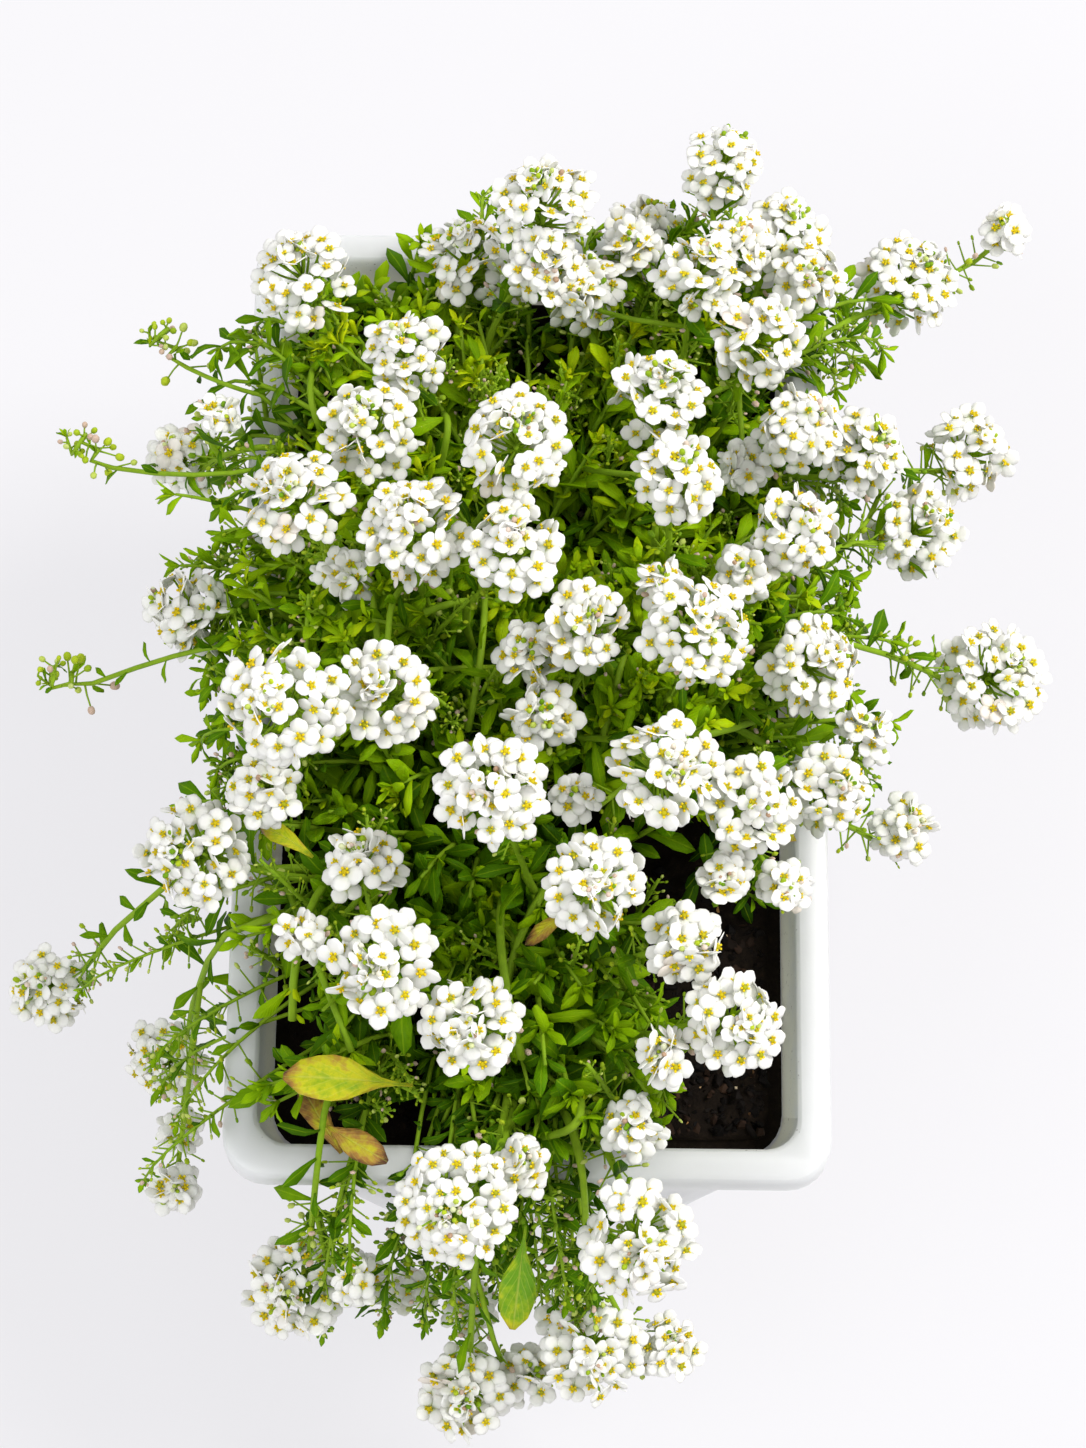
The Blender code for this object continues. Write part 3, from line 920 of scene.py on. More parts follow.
class FlowerWorks:
    """Grows the flower heads and keeps what goes into their shared pieces."""

    def __init__(self, settings, seed):
        self.settings = settings
        self.chance = chance = random.Random(seed)
        petals = [petal_shape(curl, settings.petal_width) for curl in (-0.05, 0.0, 0.05, 0.10)]
        self.open = [flower_shape(petals, 1.0, chance) for _ in range(5)]
        self.cupped = [flower_shape(petals, 0.72, chance) for _ in range(3)]
        self.closing = [flower_shape(petals, 0.38, chance) for _ in range(3)]
        self.anther = Shape.of(blob("anther", 5, 3, (0.44, 0.44, 0.46)))
        self.middle = Shape.of(blob("middle", 6, 3, (0.95, 0.95, 0.26)))
        self.bud = Shape.of(blob("bud", 6, 4, (0.78, 0.78, 1.0)))
        self.pod = Shape.of(blob("pod", 5, 3, (0.80, 0.44, 1.0)))
        self.upper_centres, self.lower_centres = [], []
        self.buds, self.stalks, self.pod_stalks = [], [], []

    def grow(self, head):
        """All of one head; gives back its petals."""
        chance = self.chance
        full = self.settings.petal_length * chance.uniform(0.94, 1.06)
        thinning = 0.15 * (1 + chance.uniform(0.0, 1.0))
        young = chance.random() < 0.45
        core = head.middle - head.axis * head.radius * 0.35
        petals = self.flowers(head, core, full, thinning, self.rings(head, full, young))
        self.closed_middle(head, core, young)
        self.stem(head, core)
        return petals

    def rings(self, head, full, young):
        """Rings of flowers: reach, rise, lean outwards, spacing, forms and size of each."""
        outer = max(0.8 * full, head.radius - 0.72 * full)
        rings = [
            (outer + 0.1 * full, -0.62, 0.75, 1.6, self.open, 0.96),
            (outer, -0.06, 0.42, 1.38, self.open, 1.0),
            (max(0.7 * full, outer - 1.35 * full), 0.27, 0.2, 1.2,
             self.open + self.cupped, 0.94),
        ]
        if outer > 1.9 * full:
            rings.append((0.45 * full, 0.36, 0.12, 1.0, self.closing, 0.56) if young
                         else (0.5 * full, 0.42, 0.12, 0.95, self.cupped + self.closing, 0.70))
        if head.node:
            rings.append((outer * 0.86, -1.05, 0.85, 1.9, self.open, 0.92))
        return rings

    def flowers(self, head, core, full, thinning, rings):
        chance, axis, radius = self.chance, head.axis, head.radius
        side = axis.orthogonal().normalized()
        petals = []
        for level, (reach, rise, lean, spacing, shapes, scale) in enumerate(rings):
            count = max(2, round(2 * math.pi * reach / (full * spacing)))
            first = chance.uniform(0, 2 * math.pi)
            for step in range(count):
                if level in (0, 4) and chance.random() < thinning:
                    continue
                angle = first + (step + chance.uniform(-0.22, 0.22)) * 2 * math.pi / count
                out = Quaternion(axis, angle) @ side
                place = (head.middle + out * reach * chance.uniform(0.90, 1.04)
                         + axis * (radius * rise + chance.uniform(-0.8, 0.8) * MM))
                facing = (axis + out * lean * chance.uniform(0.8, 1.2)
                          + Vector((chance.uniform(-1, 1), chance.uniform(-1, 1), 0)) * 0.16
                          + UP * 0.3)
                size = full * scale * chance.uniform(0.84, 1.06)
                self.flower(petals, shapes, place, facing, size, level)
                foot = core + axis * radius * (rise - 0.4) * 0.5
                bend = foot.lerp(place, 0.6) - axis * radius * 0.1
                self.stalks.append((bowed(foot, bend, place, 2),
                                    (0.34 * MM, 0.28 * MM, 0.24 * MM)))
        return petals

    def flower(self, petals, shapes, place, facing, size, level):
        """One flower: its petals, its green middle and the anthers round that."""
        chance = self.chance
        spin = Vector((chance.gauss(0, 1), chance.gauss(0, 1), chance.gauss(0, 1)))
        tint = chance.random() * 0.86 if chance.random() < 0.98 else chance.uniform(0.88, 1)
        petals.append((chance.choice(shapes), placed(place, spin, facing, size), tint))
        facing = Vector(facing).normalized()
        side = facing.orthogonal().normalized()
        centres = self.upper_centres if level in (2, 3) else self.lower_centres
        centres.append((self.middle, placed(place, facing, side, size * 0.42),
                        chance.choice((0.1, 0.2, 0.3))))
        anthers = 4 if level in (0, 4) else 5
        ripe = chance.uniform(0.32, 0.85)
        for number in range(anthers):
            turn = Quaternion(facing, number * 2 * math.pi / anthers + chance.uniform(-0.3, 0.3))
            out = turn @ side
            lean = (facing + out * 0.4).normalized()
            spot = place + out * size * 0.14 + facing * size * 0.03
            centres.append((self.anther, placed(spot, lean, out, size * 0.42),
                            ripe + chance.uniform(-0.12, 0.12)))

    def closed_middle(self, head, core, young):
        """Buds in the middle of a head, more and greener ones in a young head."""
        chance, axis, radius = self.chance, head.axis, head.radius
        tip = head.middle + axis * radius * 0.36
        crowd = chance.uniform(0.7, 1.4) * (1.7 if young else 1.0)
        for _ in range(round(radius / MM * crowd)):
            out = Vector((chance.gauss(0, 1), chance.gauss(0, 1), chance.gauss(0, 0.5)))
            out -= axis * out.dot(axis)
            place = tip + out * radius * 0.15 + axis * chance.uniform(-1.6, 0.9) * MM
            grow = (axis + out * 0.35).normalized()
            shade = chance.random() ** (1.3 if young else 0.8)
            self.buds.append((self.bud, placed(place, grow, out, chance.uniform(1.0, 1.8) * MM),
                              min(0.98, shade)))
            self.stalks.append(([core + axis * radius * 0.1, place], (0.3 * MM, 0.2 * MM)))

    def stem(self, head, core):
        """The stem that carries a head, with the pods of its first flowers round it."""
        chance, axis, radius = self.chance, head.axis, head.radius
        line = [core] + head.line
        if head.node is None:
            widths = [0.5 * MM] + [0.6 * MM] * len(head.line)
        else:
            start = head.line[-1]
            into = start - head.line[max(0, len(head.line) - 2)]
            if into.length < 1e-6:
                into = -axis
            tail = bowed(start, start + into.normalized() * 14 * MM, plant_root(start), 5)[1:]
            line += tail
            widths = [0.55 * MM] + [0.72 * MM] * len(head.line) + [0.9 * MM] * len(tail)
        self.stalks.append((line, widths))
        distance = radius * 0.35
        reach_down = min(line_length(line) * 0.8, radius * chance.uniform(2.6, 4.2))
        turned = chance.uniform(0, 6)
        while distance < reach_down:
            spot, away = spot_along(line, distance)
            turned += LEAF_TURN + chance.uniform(-0.3, 0.3)
            out = Quaternion(away, turned) @ away.orthogonal().normalized()
            grow = (out - away * chance.uniform(0.2, 0.8)).normalized()
            end = spot + grow * chance.uniform(3.2, 6.2) * MM
            self.pod_stalks.append(([spot, end], (0.24 * MM, 0.18 * MM)))
            self.buds.append((self.pod, placed(end, grow, away, chance.uniform(0.9, 2.2) * MM),
                              chance.choice(POD_TINTS)))
            distance += chance.uniform(0.7, 1.5) * MM


class ALYSSUM_OT_flower_heads(bpy.types.Operator):
    """Flowers, buds, pods and their thin stalks on every head of the frame"""
    bl_idname = "alyssum.flower_heads"
    bl_label = "Flower heads"

    def execute(self, context):
        settings = context.scene.alyssum_flowers
        works = FlowerWorks(settings, 5)
        petal_material = petal_finish(settings)
        stem_material = stem_finish(settings)
        centre_material = centre_finish(settings)
        for number, head in enumerate(HEADS + SIDE_HEADS, start=1):
            piece = gather(f"petals_{number:02d}", works.grow(head), petal_material)
            if head.node:
                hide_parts(head.node)
        gather("flower_centres_upper", works.upper_centres, centre_material)
        gather("flower_centres_lower", works.lower_centres, centre_material)
        gather("buds_and_pods", works.buds, bud_finish())
        tubes("flower_stalks", works.stalks, stem_material)
        tubes("pod_stalks", works.pod_stalks, stem_material, sides=0)
        return {"FINISHED"}


class ALYSSUM_OT_bud_stalks(bpy.types.Operator):
    """Young stems that end in closed buds"""
    bl_idname = "alyssum.bud_stalks"
    bl_label = "Bud stalks"

    def execute(self, context):
        chance = random.Random(21)
        bud = Shape.of(blob("young_bud", 7, 5, (0.86, 0.86, 1.0)))
        material = bpy.data.materials["stem"]
        buds = bpy.data.materials["bud"]
        for number, node in enumerate(BUD_NODES, start=1):
            line = bud_line(node)
            root = plant_root(line[-1])
            tail = bowed(line[-1], line[-1].lerp(root, 0.4) + UP * 6 * MM, root, 3)[1:]
            line = line + tail
            widths = [0.32 * MM, 0.42 * MM] + [0.56 * MM] * (len(line) - 2)
            stems = [(line, widths)]
            copies = []
            tip_axis = (line[0] - line[1]).normalized()
            side = tip_axis.orthogonal().normalized()
            for step in range(BUDS_ON_STALK):
                amount = step / BUDS_ON_STALK
                spot, away = spot_along(line, amount ** 1.1 * 34 * MM)
                out = Quaternion(away, step * LEAF_TURN + chance.uniform(-0.3, 0.3)) @ side
                reach = (0.9 + 4.4 * amount) * MM * chance.uniform(0.8, 1.2)
                end = spot + (out - away * 0.55).normalized() * reach
                stems.append((bowed(spot, spot.lerp(end, 0.5) - away * 0.3 * MM, end, 2),
                              (0.26 * MM, 0.22 * MM, 0.2 * MM)))
                copies.append((bud, placed(end, end - spot, out,
                                           (1.2 + 1.0 * amount) * MM * chance.uniform(0.8, 1.2)),
                               chance.choice((0.22, 0.3, 0.36, 0.4, 0.44, 0.48, 0.94))))
            piece = gather(f"young_buds_{number}", copies, buds)
            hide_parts(node)
            tubes(f"young_stem_{number}", stems, material)
        return {"FINISHED"}


class LeafWorks:
    """Grows leaves round stems and keeps the stems for one shared piece."""

    def __init__(self, settings, seed):
        self.settings = settings
        self.chance = random.Random(seed)
        width = settings.width
        self.shapes = [leaf_shape(width * w, droop, fold) for w, droop, fold in (
            (0.85, 0.0, 0.9), (1.0, 0.18, 0.6), (1.15, 0.34, 0.4), (1.25, 0.1, 0.5),
            (0.8, 0.5, 0.7), (1.0, -0.15, 0.6))]
        self.pod = Shape.of(blob("ripe_pod", 5, 3, (0.82, 0.48, 1.0)))
        self.stems, self.thin, self.pods = [], [], []

    def jitter(self, amount):
        return Vector([self.chance.uniform(-amount, amount) for _ in range(3)])

    def leaf(self, copies, spot, reach, facing, length, tint):
        shape = self.chance.choice(self.shapes)
        if not cuts_wall(spot, spot + reach.normalized() * length):
            copies.append((shape, placed(spot, reach, facing, length),
                           max(0.0, min(0.93, tint))))

    def along(self, copies, line, first, gap, size, tint):
        """Leaves set round a stem, smaller and paler towards its tip."""
        chance = self.chance
        total = line_length(line)
        place, turned = total * first, chance.uniform(0, 6)
        while place < total:
            spot, away = spot_along(line, place)
            share = place / total
            turned += LEAF_TURN + chance.uniform(-0.4, 0.4)
            out = Quaternion(away, turned) @ away.orthogonal().normalized()
            reach = out + away * (0.35 + 0.7 * share) + UP * 0.2 + self.jitter(0.35)
            facing = away * 0.7 + UP * 1.0 + self.jitter(0.4)
            length = size * (1.1 - 0.55 * share ** 2) * chance.uniform(0.6, 1.2)
            if chance.random() < 0.05:
                length *= 1.5
            self.leaf(copies, spot, reach, facing, length,
                      tint - 0.16 + 0.34 * share + chance.uniform(-0.16, 0.2))
            place += gap * chance.uniform(0.6, 1.4)
        tip, away = spot_along(line, total)
        side = away.orthogonal().normalized()
        for step in range(6):
            out = Quaternion(away, step * LEAF_TURN) @ side
            self.leaf(copies, tip, away + out * (0.3 + 0.14 * step), away - out * 0.6,
                      size * (0.24 + 0.06 * step), tint + 0.22 + chance.uniform(0.0, 0.2))

    def pods_round(self, line, first):
        """Small pods on thin stalks from the share first of a stem to its tip."""
        chance = self.chance
        total = line_length(line)
        place, turned = total * first, chance.uniform(0, 6)
        while place < total:
            share = (place / total - first) / (1 - first)
            at, away = spot_along(line, place)
            turned += LEAF_TURN
            out = Quaternion(away, turned) @ away.orthogonal().normalized()
            grow = (out + away * (0.2 + share)).normalized()
            end = at + grow * (4.8 - 3.2 * share) * MM * chance.uniform(0.8, 1.2)
            pod = (self.pod, placed(end, grow, away, (1.9 - 0.9 * share) * MM
                                    * chance.uniform(0.7, 1.2)),
                   chance.choice(POD_TINTS))
            if not cuts_wall(at, end + grow * 2 * MM):
                self.thin.append(([at, end], (0.22 * MM, 0.17 * MM)))
                self.pods.append(pod)
            place += chance.uniform(0.8, 1.4) * MM

    def shoot(self, copies, line, gap, size, tint, thick=0.8):
        steps = len(line) - 1
        self.stems.append((line, [thick * MM * (1.05 - 0.6 * i / steps)
                                  for i in range(len(line))]))
        self.along(copies, line, 0.25, gap, size, tint)

    def trail(self, copies, seed, top, tip, gap, size, tint, thick):
        """A shoot from the soil below seed that passes over the rim at top."""
        line = over_rim(plant_root(seed), top, tip)
        self.shoot(copies, line, gap, self.settings.length * size, tint, thick)
        return line


def over_rim(root, top, tip, steps=9):
    """A stem that rises from the soil, passes over the rim at top and comes down to tip."""
    low = root.lerp(top, 0.72)
    low.z = top.z
    high = Vector((tip.x, tip.y, 0.0)).lerp(Vector((top.x, top.y, 0.0)), 0.15)
    high.z = top.z - 1 * MM
    line = []
    for step in range(steps + 1):
        t = step / steps
        line.append(root * (1 - t) ** 3 + low * 3 * t * (1 - t) ** 2
                    + high * 3 * t * t * (1 - t) + tip * t ** 3)
    return line


class ALYSSUM_OT_leaves(bpy.types.Operator):
    """Leafy shoots that fill each clump, hang over the rim and follow the trailing stems"""
    bl_idname = "alyssum.leaves"
    bl_label = "Leaves"

    def pod_stalks(self, works, clumps):
        """Stalks that have dropped their petals, with small pods all round them."""
        chance = works.chance
        for tops, weights in clumps:
            for _ in range(works.settings.pod_stalks):
                _, corners, normal = chance.choices(tops, weights)[0]
                a = chance.random()
                spot = corners[0].lerp(corners[1], a).lerp(corners[2], chance.random() * 0.6)
                tip = spot + normal * chance.uniform(0, 5) * MM + UP * chance.uniform(0, 6) * MM
                foot = tip - (normal * 0.6 + UP * 0.9 + works.jitter(0.5)) * 26 * MM
                line = bowed(foot, foot.lerp(tip, 0.5) + UP * 3 * MM, tip, 4)
                works.stems.append((line, [0.62 * MM] * 3 + [0.5 * MM, 0.36 * MM]))
                works.pods_round(line, 0.2)

    def runners(self, works, clumps, copies):
        """Long bare stems that cross over the leaves in low arcs."""
        chance = works.chance
        for _ in range(works.settings.runners):
            ends = []
            for tops, weights in (chance.choice(clumps),) * 2:
                _, corners, normal = chance.choices(tops, weights)[0]
                ends.append((corners[0].lerp(corners[1], chance.random()), normal))
            (start, low), (end, high) = ends
            if (end - start).length < 18 * MM:
                continue
            middle = start.lerp(end, 0.5) + UP * chance.uniform(7, 14) * MM + works.jitter(9 * MM)
            line = bowed(start - low * 7 * MM, middle, end - high * 7 * MM, 7)
            works.stems.append((line, [chance.uniform(0.62, 0.9) * MM] * len(line)))
            works.along(copies, line, 0.15, 8.0 * MM, works.settings.length * 0.85, 0.45)

    def tops(self, mesh):
        """The faces of a clump that shoots may end at, with their weights."""
        mesh.calc_loop_triangles()
        tops = []
        for triangle in mesh.loop_triangles:
            corners = [mesh.vertices[i].co for i in triangle.vertices]
            normal = (corners[1] - corners[0]).cross(corners[2] - corners[0])
            area = normal.length / 2
            if area < 1e-12:
                continue
            normal.normalize()
            if normal.z > -0.3 and sum(c.z for c in corners) / 3 > RIM - 8 * MM:
                tops.append((area * (0.7 + max(0.0, normal.z)), corners, normal))
        return tops, [weight for weight, _, _ in tops]

    def clump(self, works, name, tops, weights):
        """The leafy shoots of one clump, two in five of them deep inside it, with a darker tint as
        painted shade.
        """
        chance, settings = works.chance, works.settings
        low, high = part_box(name)
        copies = []
        scale = (high.x - low.x) * (high.y - low.y) / (58 * 60 * MM * MM)
        front = "front" in name
        # rear clumps get a paler tint as painted light; front clumps a darker one
        shift = -0.12 if front else 0.15 if "back" in name else 0.02
        number_of = settings.shoots * scale * (0.70 if front else 1.0)
        for number in range(round(number_of)):
            _, corners, normal = chance.choices(tops, weights)[0]
            a, b = chance.random(), chance.random()
            if a + b > 1:
                a, b = 1 - a, 1 - b
            spot = corners[0] + (corners[1] - corners[0]) * a + (corners[2] - corners[0]) * b
            deep = number % 5 in (1, 3)
            depth = chance.uniform(6, 24) if deep else chance.uniform(-3, 6)
            spot = spot - normal * depth * MM
            spot.z = max(spot.z, RIM - 4 * MM)
            root = plant_root(spot) + Vector((chance.uniform(-9, 9) * MM,
                                              chance.uniform(-12, 12) * MM, 0.0))
            root.x = max(SOIL_LOW.x + 4 * MM, min(SOIL_HIGH.x - 4 * MM, root.x))
            bend = Vector((root.x * 0.6 + spot.x * 0.4, root.y * 0.6 + spot.y * 0.4,
                           root.z + (spot.z - root.z) * 0.75))
            # deep shoots get a darker leaf tint: painted shade inside the clump
            works.shoot(copies, bowed(root, bend, spot, 4), (3.1 if front else 2.7) * MM,
                        settings.length * (1.12 if front else 1.0),
                        (0.18 if deep else 0.42) + shift)
        return copies

    def ground_cover(self, works):
        """Low shoots between the clumps and a row along the rear wall."""
        chance, settings = works.chance, works.settings
        copies = []
        inner_x, inner_y = SOIL_HIGH.x - 3 * MM, SOIL_HIGH.y - 4 * MM
        for _ in range(settings.ground_shoots):
            x = chance.uniform(-inner_x, inner_x)
            y = chance.uniform(-inner_y, inner_y)
            if is_bare(x, y) or (y < -45 * MM and chance.random() < 0.45):
                continue
            root = Vector((x, y, SOIL_HIGH.z - 0.5 * MM))
            tip = root + Vector((chance.uniform(-7, 7) * MM, chance.uniform(-7, 7) * MM,
                                 chance.uniform(6, 24) * MM))
            tip.x = max(-inner_x, min(inner_x, tip.x))
            tip.y = max(-inner_y, min(inner_y, tip.y))
            # low shoots get a dark leaf tint: painted shade under the plant
            works.shoot(copies, bowed(root, root.lerp(tip, 0.5) + UP * 2 * MM, tip, 3),
                        3.0 * MM, settings.length * 0.95, 0.10, 0.6)
        for _ in range(settings.rear_shoots):
            x = chance.uniform(-0.9, 0.98) * inner_x
            y = inner_y - chance.uniform(0, 13) * MM
            root = Vector((x, y, SOIL_HIGH.z - 0.5 * MM))
            tip = root + Vector((chance.uniform(-8, 8) * MM, chance.uniform(-6, 4) * MM,
                                 chance.uniform(12, 34) * MM))
            works.shoot(copies, bowed(root, root.lerp(tip, 0.5) + UP * 3 * MM, tip, 3),
                        2.6 * MM, settings.length, 0.40, 0.7)
        return copies

    def over_the_edges(self, works, copies):
        """Shoots that hang over the rim: rear, left and right, front, then front left."""
        chance, settings = works.chance, works.settings
        edge_x, edge_y = TRAY_HIGH.x, TRAY_HIGH.y
        for _ in range(9):
            x = chance.uniform(-18, 52) * MM
            top = Vector((x, edge_y - 6 * MM, RIM + chance.uniform(8, 22) * MM))
            tip = Vector((x + chance.uniform(-10, 10) * MM, edge_y + chance.uniform(-8, 6) * MM,
                          RIM + chance.uniform(2, 14) * MM))
            line = works.trail(copies, Vector((x, 80 * MM, RIM)), top, tip, 3.2 * MM,
                               0.9, 0.3, 0.7)
            works.pods_round(line, 0.5)
        for side, first, last, number in ((-1, -50, 88, 30), (1, -26, 92, 26)):
            for _ in range(number):
                y = chance.uniform(first, last) * MM
                top = Vector((side * (edge_x - 5 * MM), y, RIM + chance.uniform(9, 26) * MM))
                out, shift = chance.uniform(-2, 15), chance.uniform(-8, 8)
                lift = chance.uniform(-16, 13)
                if lift < 4:
                    out = max(out, 4.0)
                tip = Vector((side * (edge_x + out * MM), y + shift * MM, RIM + lift * MM))
                line = works.trail(copies, Vector((side * 50 * MM, y, RIM)), top, tip,
                                   4.2 * MM, 0.98, 0.30, 0.7)
                if chance.random() < 0.6:
                    works.pods_round(line, 0.55)
        for _ in range(settings.hanging_shoots):
            x = max(-52.0, min(22.0, chance.gauss(-4, 24))) * MM
            top = Vector((x, -(edge_y - 6 * MM), RIM + chance.uniform(6, 14) * MM))
            tip = Vector((x + chance.uniform(-22, 16) * MM, -edge_y - chance.uniform(3, 24) * MM,
                          RIM - chance.uniform(2, 54) * MM))
            line = works.trail(copies, Vector((x, -80 * MM, RIM)), top, tip, 3.0 * MM,
                               0.70, 0.12, 0.6)
            works.pods_round(line, chance.uniform(0.5, 0.75))
        for _ in range(settings.hanging_shoots // 6):
            y = chance.uniform(-96, -44) * MM
            top = Vector((-(edge_x - 5 * MM), y, RIM + chance.uniform(5, 10) * MM))
            tip = Vector((-edge_x - chance.uniform(6, 32) * MM, y + chance.uniform(-22, 8) * MM,
                          RIM - chance.uniform(2, 46) * MM))
            line = works.trail(copies, Vector((-50 * MM, y, RIM)), top, tip, 5.0 * MM,
                               0.56, 0.24, 0.55)
            works.pods_round(line, chance.uniform(0.45, 0.65))

    def on_stalks(self, works):
        """Leaves on the stalks of the heads and of the buds."""
        copies = []
        size = works.settings.length
        for head in HEADS:
            line = list(reversed([head.middle - head.axis * head.radius * 0.6] + head.line))
            if line_length(line) > 12 * MM:
                works.along(copies, line, 0.05, 5.0 * MM, size * 0.8, 0.35)
        for node in BUD_NODES:
            line = list(reversed(bud_line(node)))
            works.along(copies, line, 0.05, 7.0 * MM, size * 0.5, 0.4)
        return copies

    def execute(self, context):
        settings = context.scene.alyssum_leaves
        works = LeafWorks(settings, 8)
        leaf_material = leaf_finish(settings)
        stem_material = bpy.data.materials["stem"]

        seeding = []
        for name in CLUMP_NODES:
            tops, weights = self.tops(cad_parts[name].data)
            seeding.append((tops, weights))
            copies = self.clump(works, name, tops, weights)
            piece = gather(name.replace("foliage", "leaves"), copies, leaf_material)
            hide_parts(name)
        self.pod_stalks(works, seeding)
        gather("low_leaves", self.ground_cover(works), leaf_material)
        copies = []
        self.runners(works, seeding, copies)
        self.over_the_edges(works, copies)
        gather("overhanging_leaves", copies, leaf_material)
        gather("stem_leaves", self.on_stalks(works), leaf_material)
        tubes("leafy_stems", works.stems, stem_material)
        gather("ripening_pods", works.pods, bpy.data.materials["bud"])
        tubes("ripening_stalks", works.thin, stem_material, sides=0)
        return {"FINISHED"}


class ALYSSUM_OT_old_leaves(bpy.types.Operator):
    """A few big leaves that have turned yellow or brown"""
    bl_idname = "alyssum.old_leaves"
    bl_label = "Old leaves"

    def execute(self, context):
        outline = (0.06, 0.08, 0.22, 0.54, 0.88, 1.0, 0.93, 0.74, 0.16)
        lifts = (0.0, 0.01, 0.03, 0.05, 0.06, 0.05, 0.03, 0.0, -0.05)
        broad = Shape.of(strip("broad_leaf", 4, 8, [(0.36 * width, lift, 0.0) for width, lift
                                                    in zip(outline, lifts)], 0.25, 0.018))
        bent = leaf_shape(0.34, 0.45, 0.35)
        front = -TRAY_HIGH.y
        copies = []
        for shape, spot, reach, facing, length, tint in (
                (broad, (-23, front / MM + 13, 25), (-1, 0.04, 0.1), (0, -0.1, 1), 26, 0.30),
                (bent, (-38, front / MM + 4, 4), (-0.4, 0.6, 0.1), (0, -0.3, 1), 17, 0.62),
                (broad, (-43, front / MM + 9, 12), (0.85, -0.5, 0.0), (0, -0.2, 1), 17, 0.56),
                (broad, (0, front / MM - 12, 10), (-0.12, -1, -0.25), (0, -0.5, 1), 21, 0.0),
                (bent, (42, front / MM + 72, 30), (0.8, -0.5, 0.1), (0, -0.2, 1), 13, 0.12),
                (bent, (27, 88, 22), (0.9, 0.3, 0.2), (0, 0, 1), 13, 0.35),
                (bent, (8, front / MM + 48, 30), (-0.5, -0.4, 0.3), (0, 0, 1), 10, 0.55),
                (bent, (-44, -50, 34), (-0.6, 0.4, 0.2), (0, 0, 1), 12, 0.3)):
            place = Vector(spot) * MM + UP * RIM
            copies.append((shape, placed(place, Vector(reach), Vector(facing), length * MM),
                           tint))
        gather("old_leaves", copies, dry_leaf_finish())
        return {"FINISHED"}


FLOOR_LIGHT = (0.985, 0.97, 1.0, 1.0)
SKY_COLOUR = (0.97, 0.985, 1.0, 1.0)
SKY_STRENGTH = 0.755
# name, place from the middle of the rim, width, power and colour
LAMPS = (
    ("key_light", (0.86, 0.26, 1.15), 0.7, 17.0, (1.0, 0.985, 0.96)),
    ("fill_light", (-0.9, -0.7, 1.2), 1.1, 8.0, (0.95, 0.97, 1.0)),
)


class ALYSSUM_OT_stage(bpy.types.Operator):
    """Pale floor, soft light and the camera"""
    bl_idname = "alyssum.stage"
    bl_label = "Stage"

    def execute(self, context):
        settings = context.scene.alyssum_stage
        scene = context.scene
        bpy.ops.object.select_all(action="DESELECT")
        bpy.ops.mesh.primitive_plane_add(size=30.0, location=(0.0, 0.0, 0.0))
        floor = context.view_layer.objects.active
        floor.name = "floor"
        nodes = Nodes("floor_paint", 0.9, 0.1)
        nodes.shader.inputs["Base Color"].default_value = (*settings.floor, 1.0)
        nodes.shader.inputs["Emission Color"].default_value = FLOOR_LIGHT
        nodes.shader.inputs["Emission Strength"].default_value = settings.floor_glow
        floor.data.materials.append(nodes.material)

        world = bpy.data.worlds.new("soft_sky")
        scene.world = world
        world.use_nodes = True
        sky = world.node_tree.nodes["Background"]
        sky.inputs["Color"].default_value = SKY_COLOUR
        sky.inputs["Strength"].default_value = SKY_STRENGTH

        middle = Vector((0.0, 0.0, RIM))
        for name, offset, size, energy, colour in LAMPS:
            light = bpy.data.lights.new(name, "AREA")
            light.shape = "DISK"
            light.size = size
            light.energy = energy
            light.color = colour
            thing = bpy.data.objects.new(name, light)
            thing.location = middle + Vector(offset)
            thing.rotation_euler = (-Vector(offset)).to_track_quat("-Z", "Y").to_euler()
            scene.collection.objects.link(thing)

        camera_data = bpy.data.cameras.new("camera")
        camera_data.lens = settings.lens
        camera_data.sensor_fit = "VERTICAL"
        camera_data.sensor_width = 36.0
        camera_data.sensor_height = 36.0
        camera_data.clip_start = 0.01
        camera = bpy.data.objects.new("camera", camera_data)
        scene.collection.objects.link(camera)
        aim = middle + Vector(settings.aim)
        back = Vector((0.0, -math.cos(settings.elevation), math.sin(settings.elevation)))
        camera.location = aim + back * settings.distance
        turn = (-back).to_track_quat("-Z", "Y").to_matrix() @ Matrix.Rotation(
            settings.roll, 3, "Z")
        camera.rotation_euler = turn.to_euler()
        scene.camera = camera
        scene.view_settings.view_transform = "Standard"
        scene.view_settings.look = "None"
        scene.view_settings.exposure = 0.0
        scene.view_settings.gamma = 1.0
        return {"FINISHED"}


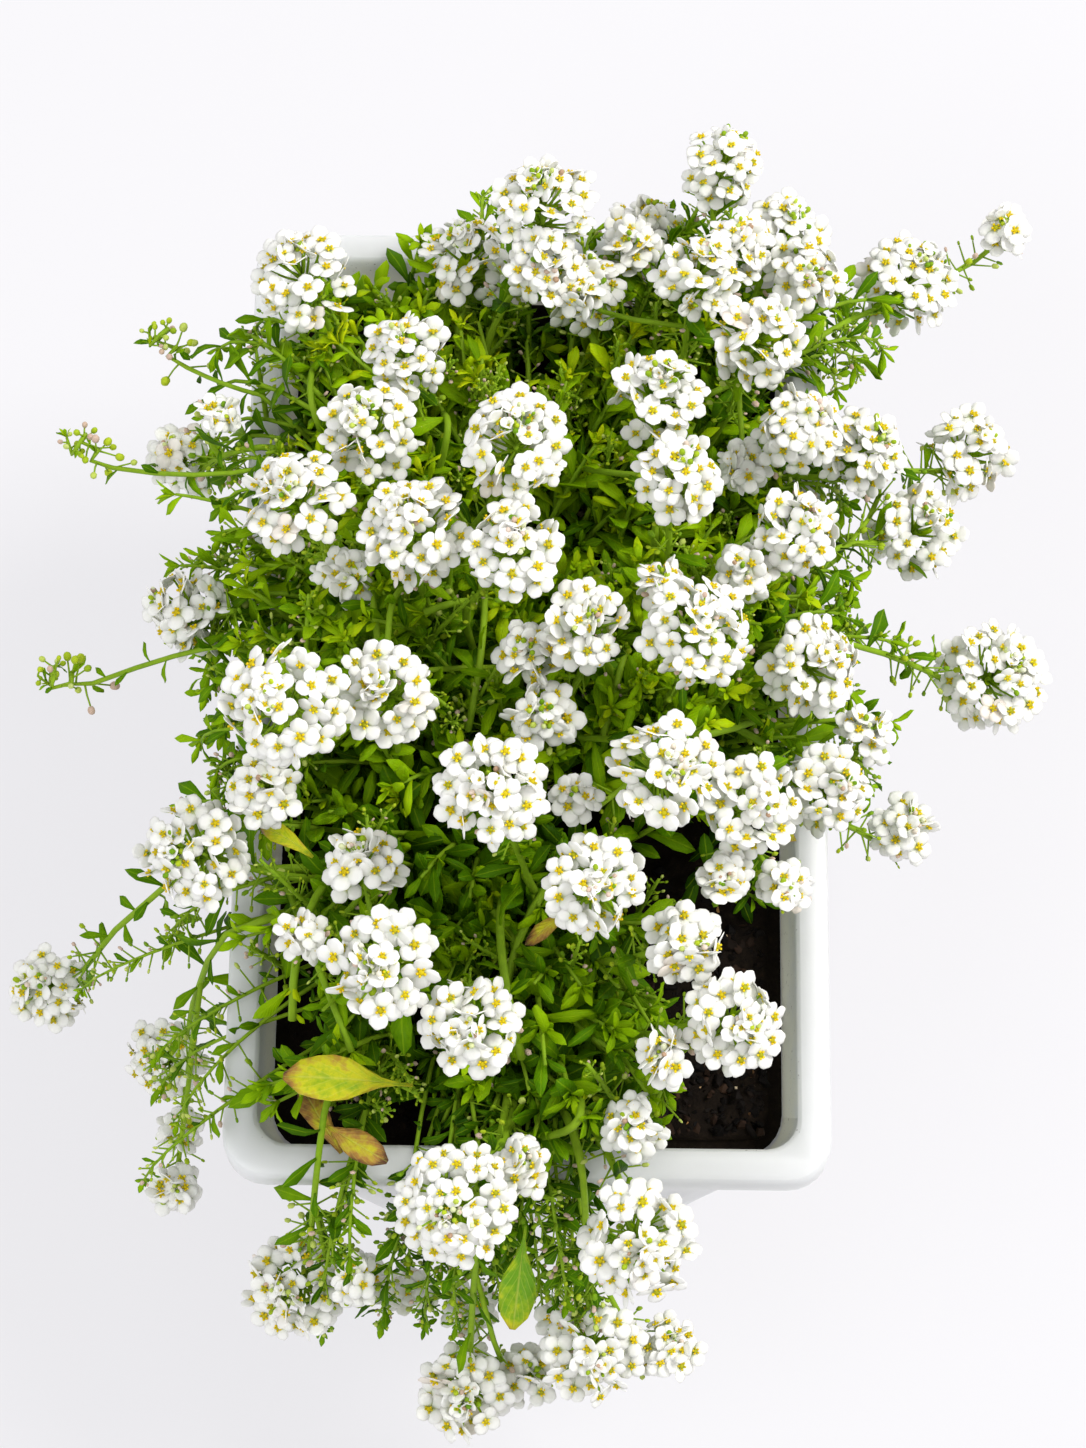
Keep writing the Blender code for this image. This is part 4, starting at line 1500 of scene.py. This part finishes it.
class ALYSSUM_PT_panel(bpy.types.Panel):
    """Lists the steps that build the potted alyssum"""
    bl_idname = "ALYSSUM_PT_panel"
    bl_label = "Alyssum in a tray"
    bl_space_type = "VIEW_3D"
    bl_region_type = "UI"
    bl_category = "Alyssum"

    def draw(self, context):
        for label, group, operators in PANEL_ROWS:
            box = self.layout.box()
            box.label(text=label)
            settings = getattr(context.scene, group)
            for key in settings.__annotations__:
                box.prop(settings, key)
            for operator in operators:
                box.operator(operator)


PANEL_ROWS = (
    ("Tray", "alyssum_tray", ("alyssum.tray",)),
    ("Soil", "alyssum_soil", ("alyssum.soil",)),
    ("Flowers", "alyssum_flowers", ("alyssum.flower_heads", "alyssum.bud_stalks")),
    ("Leaves", "alyssum_leaves", ("alyssum.leaves", "alyssum.old_leaves")),
    ("Stage", "alyssum_stage", ("alyssum.stage",)),
)
SETTINGS = (
    ("alyssum_tray", AlyssumTraySettings), ("alyssum_soil", AlyssumSoilSettings),
    ("alyssum_leaves", AlyssumLeafSettings), ("alyssum_flowers", AlyssumFlowerSettings),
    ("alyssum_stage", AlyssumStageSettings),
)
OPERATORS = (
    ALYSSUM_OT_tray, ALYSSUM_OT_soil, ALYSSUM_OT_flower_heads, ALYSSUM_OT_bud_stalks,
    ALYSSUM_OT_leaves, ALYSSUM_OT_old_leaves, ALYSSUM_OT_stage,
)


def register():
    for name, group in SETTINGS:
        bpy.utils.register_class(group)
        setattr(bpy.types.Scene, name, bpy.props.PointerProperty(type=group))
    for operator in OPERATORS:
        bpy.utils.register_class(operator)
    bpy.utils.register_class(ALYSSUM_PT_panel)


def unregister():
    bpy.utils.unregister_class(ALYSSUM_PT_panel)
    for operator in reversed(OPERATORS):
        bpy.utils.unregister_class(operator)
    for name, group in reversed(SETTINGS):
        delattr(bpy.types.Scene, name)
        bpy.utils.unregister_class(group)


def main():
    register()
    bpy.ops.alyssum.tray()
    bpy.ops.alyssum.soil()
    bpy.ops.alyssum.flower_heads()
    bpy.ops.alyssum.bud_stalks()
    bpy.ops.alyssum.leaves()
    bpy.ops.alyssum.old_leaves()
    bpy.ops.alyssum.stage()


if __name__ == "__main__":
    main()
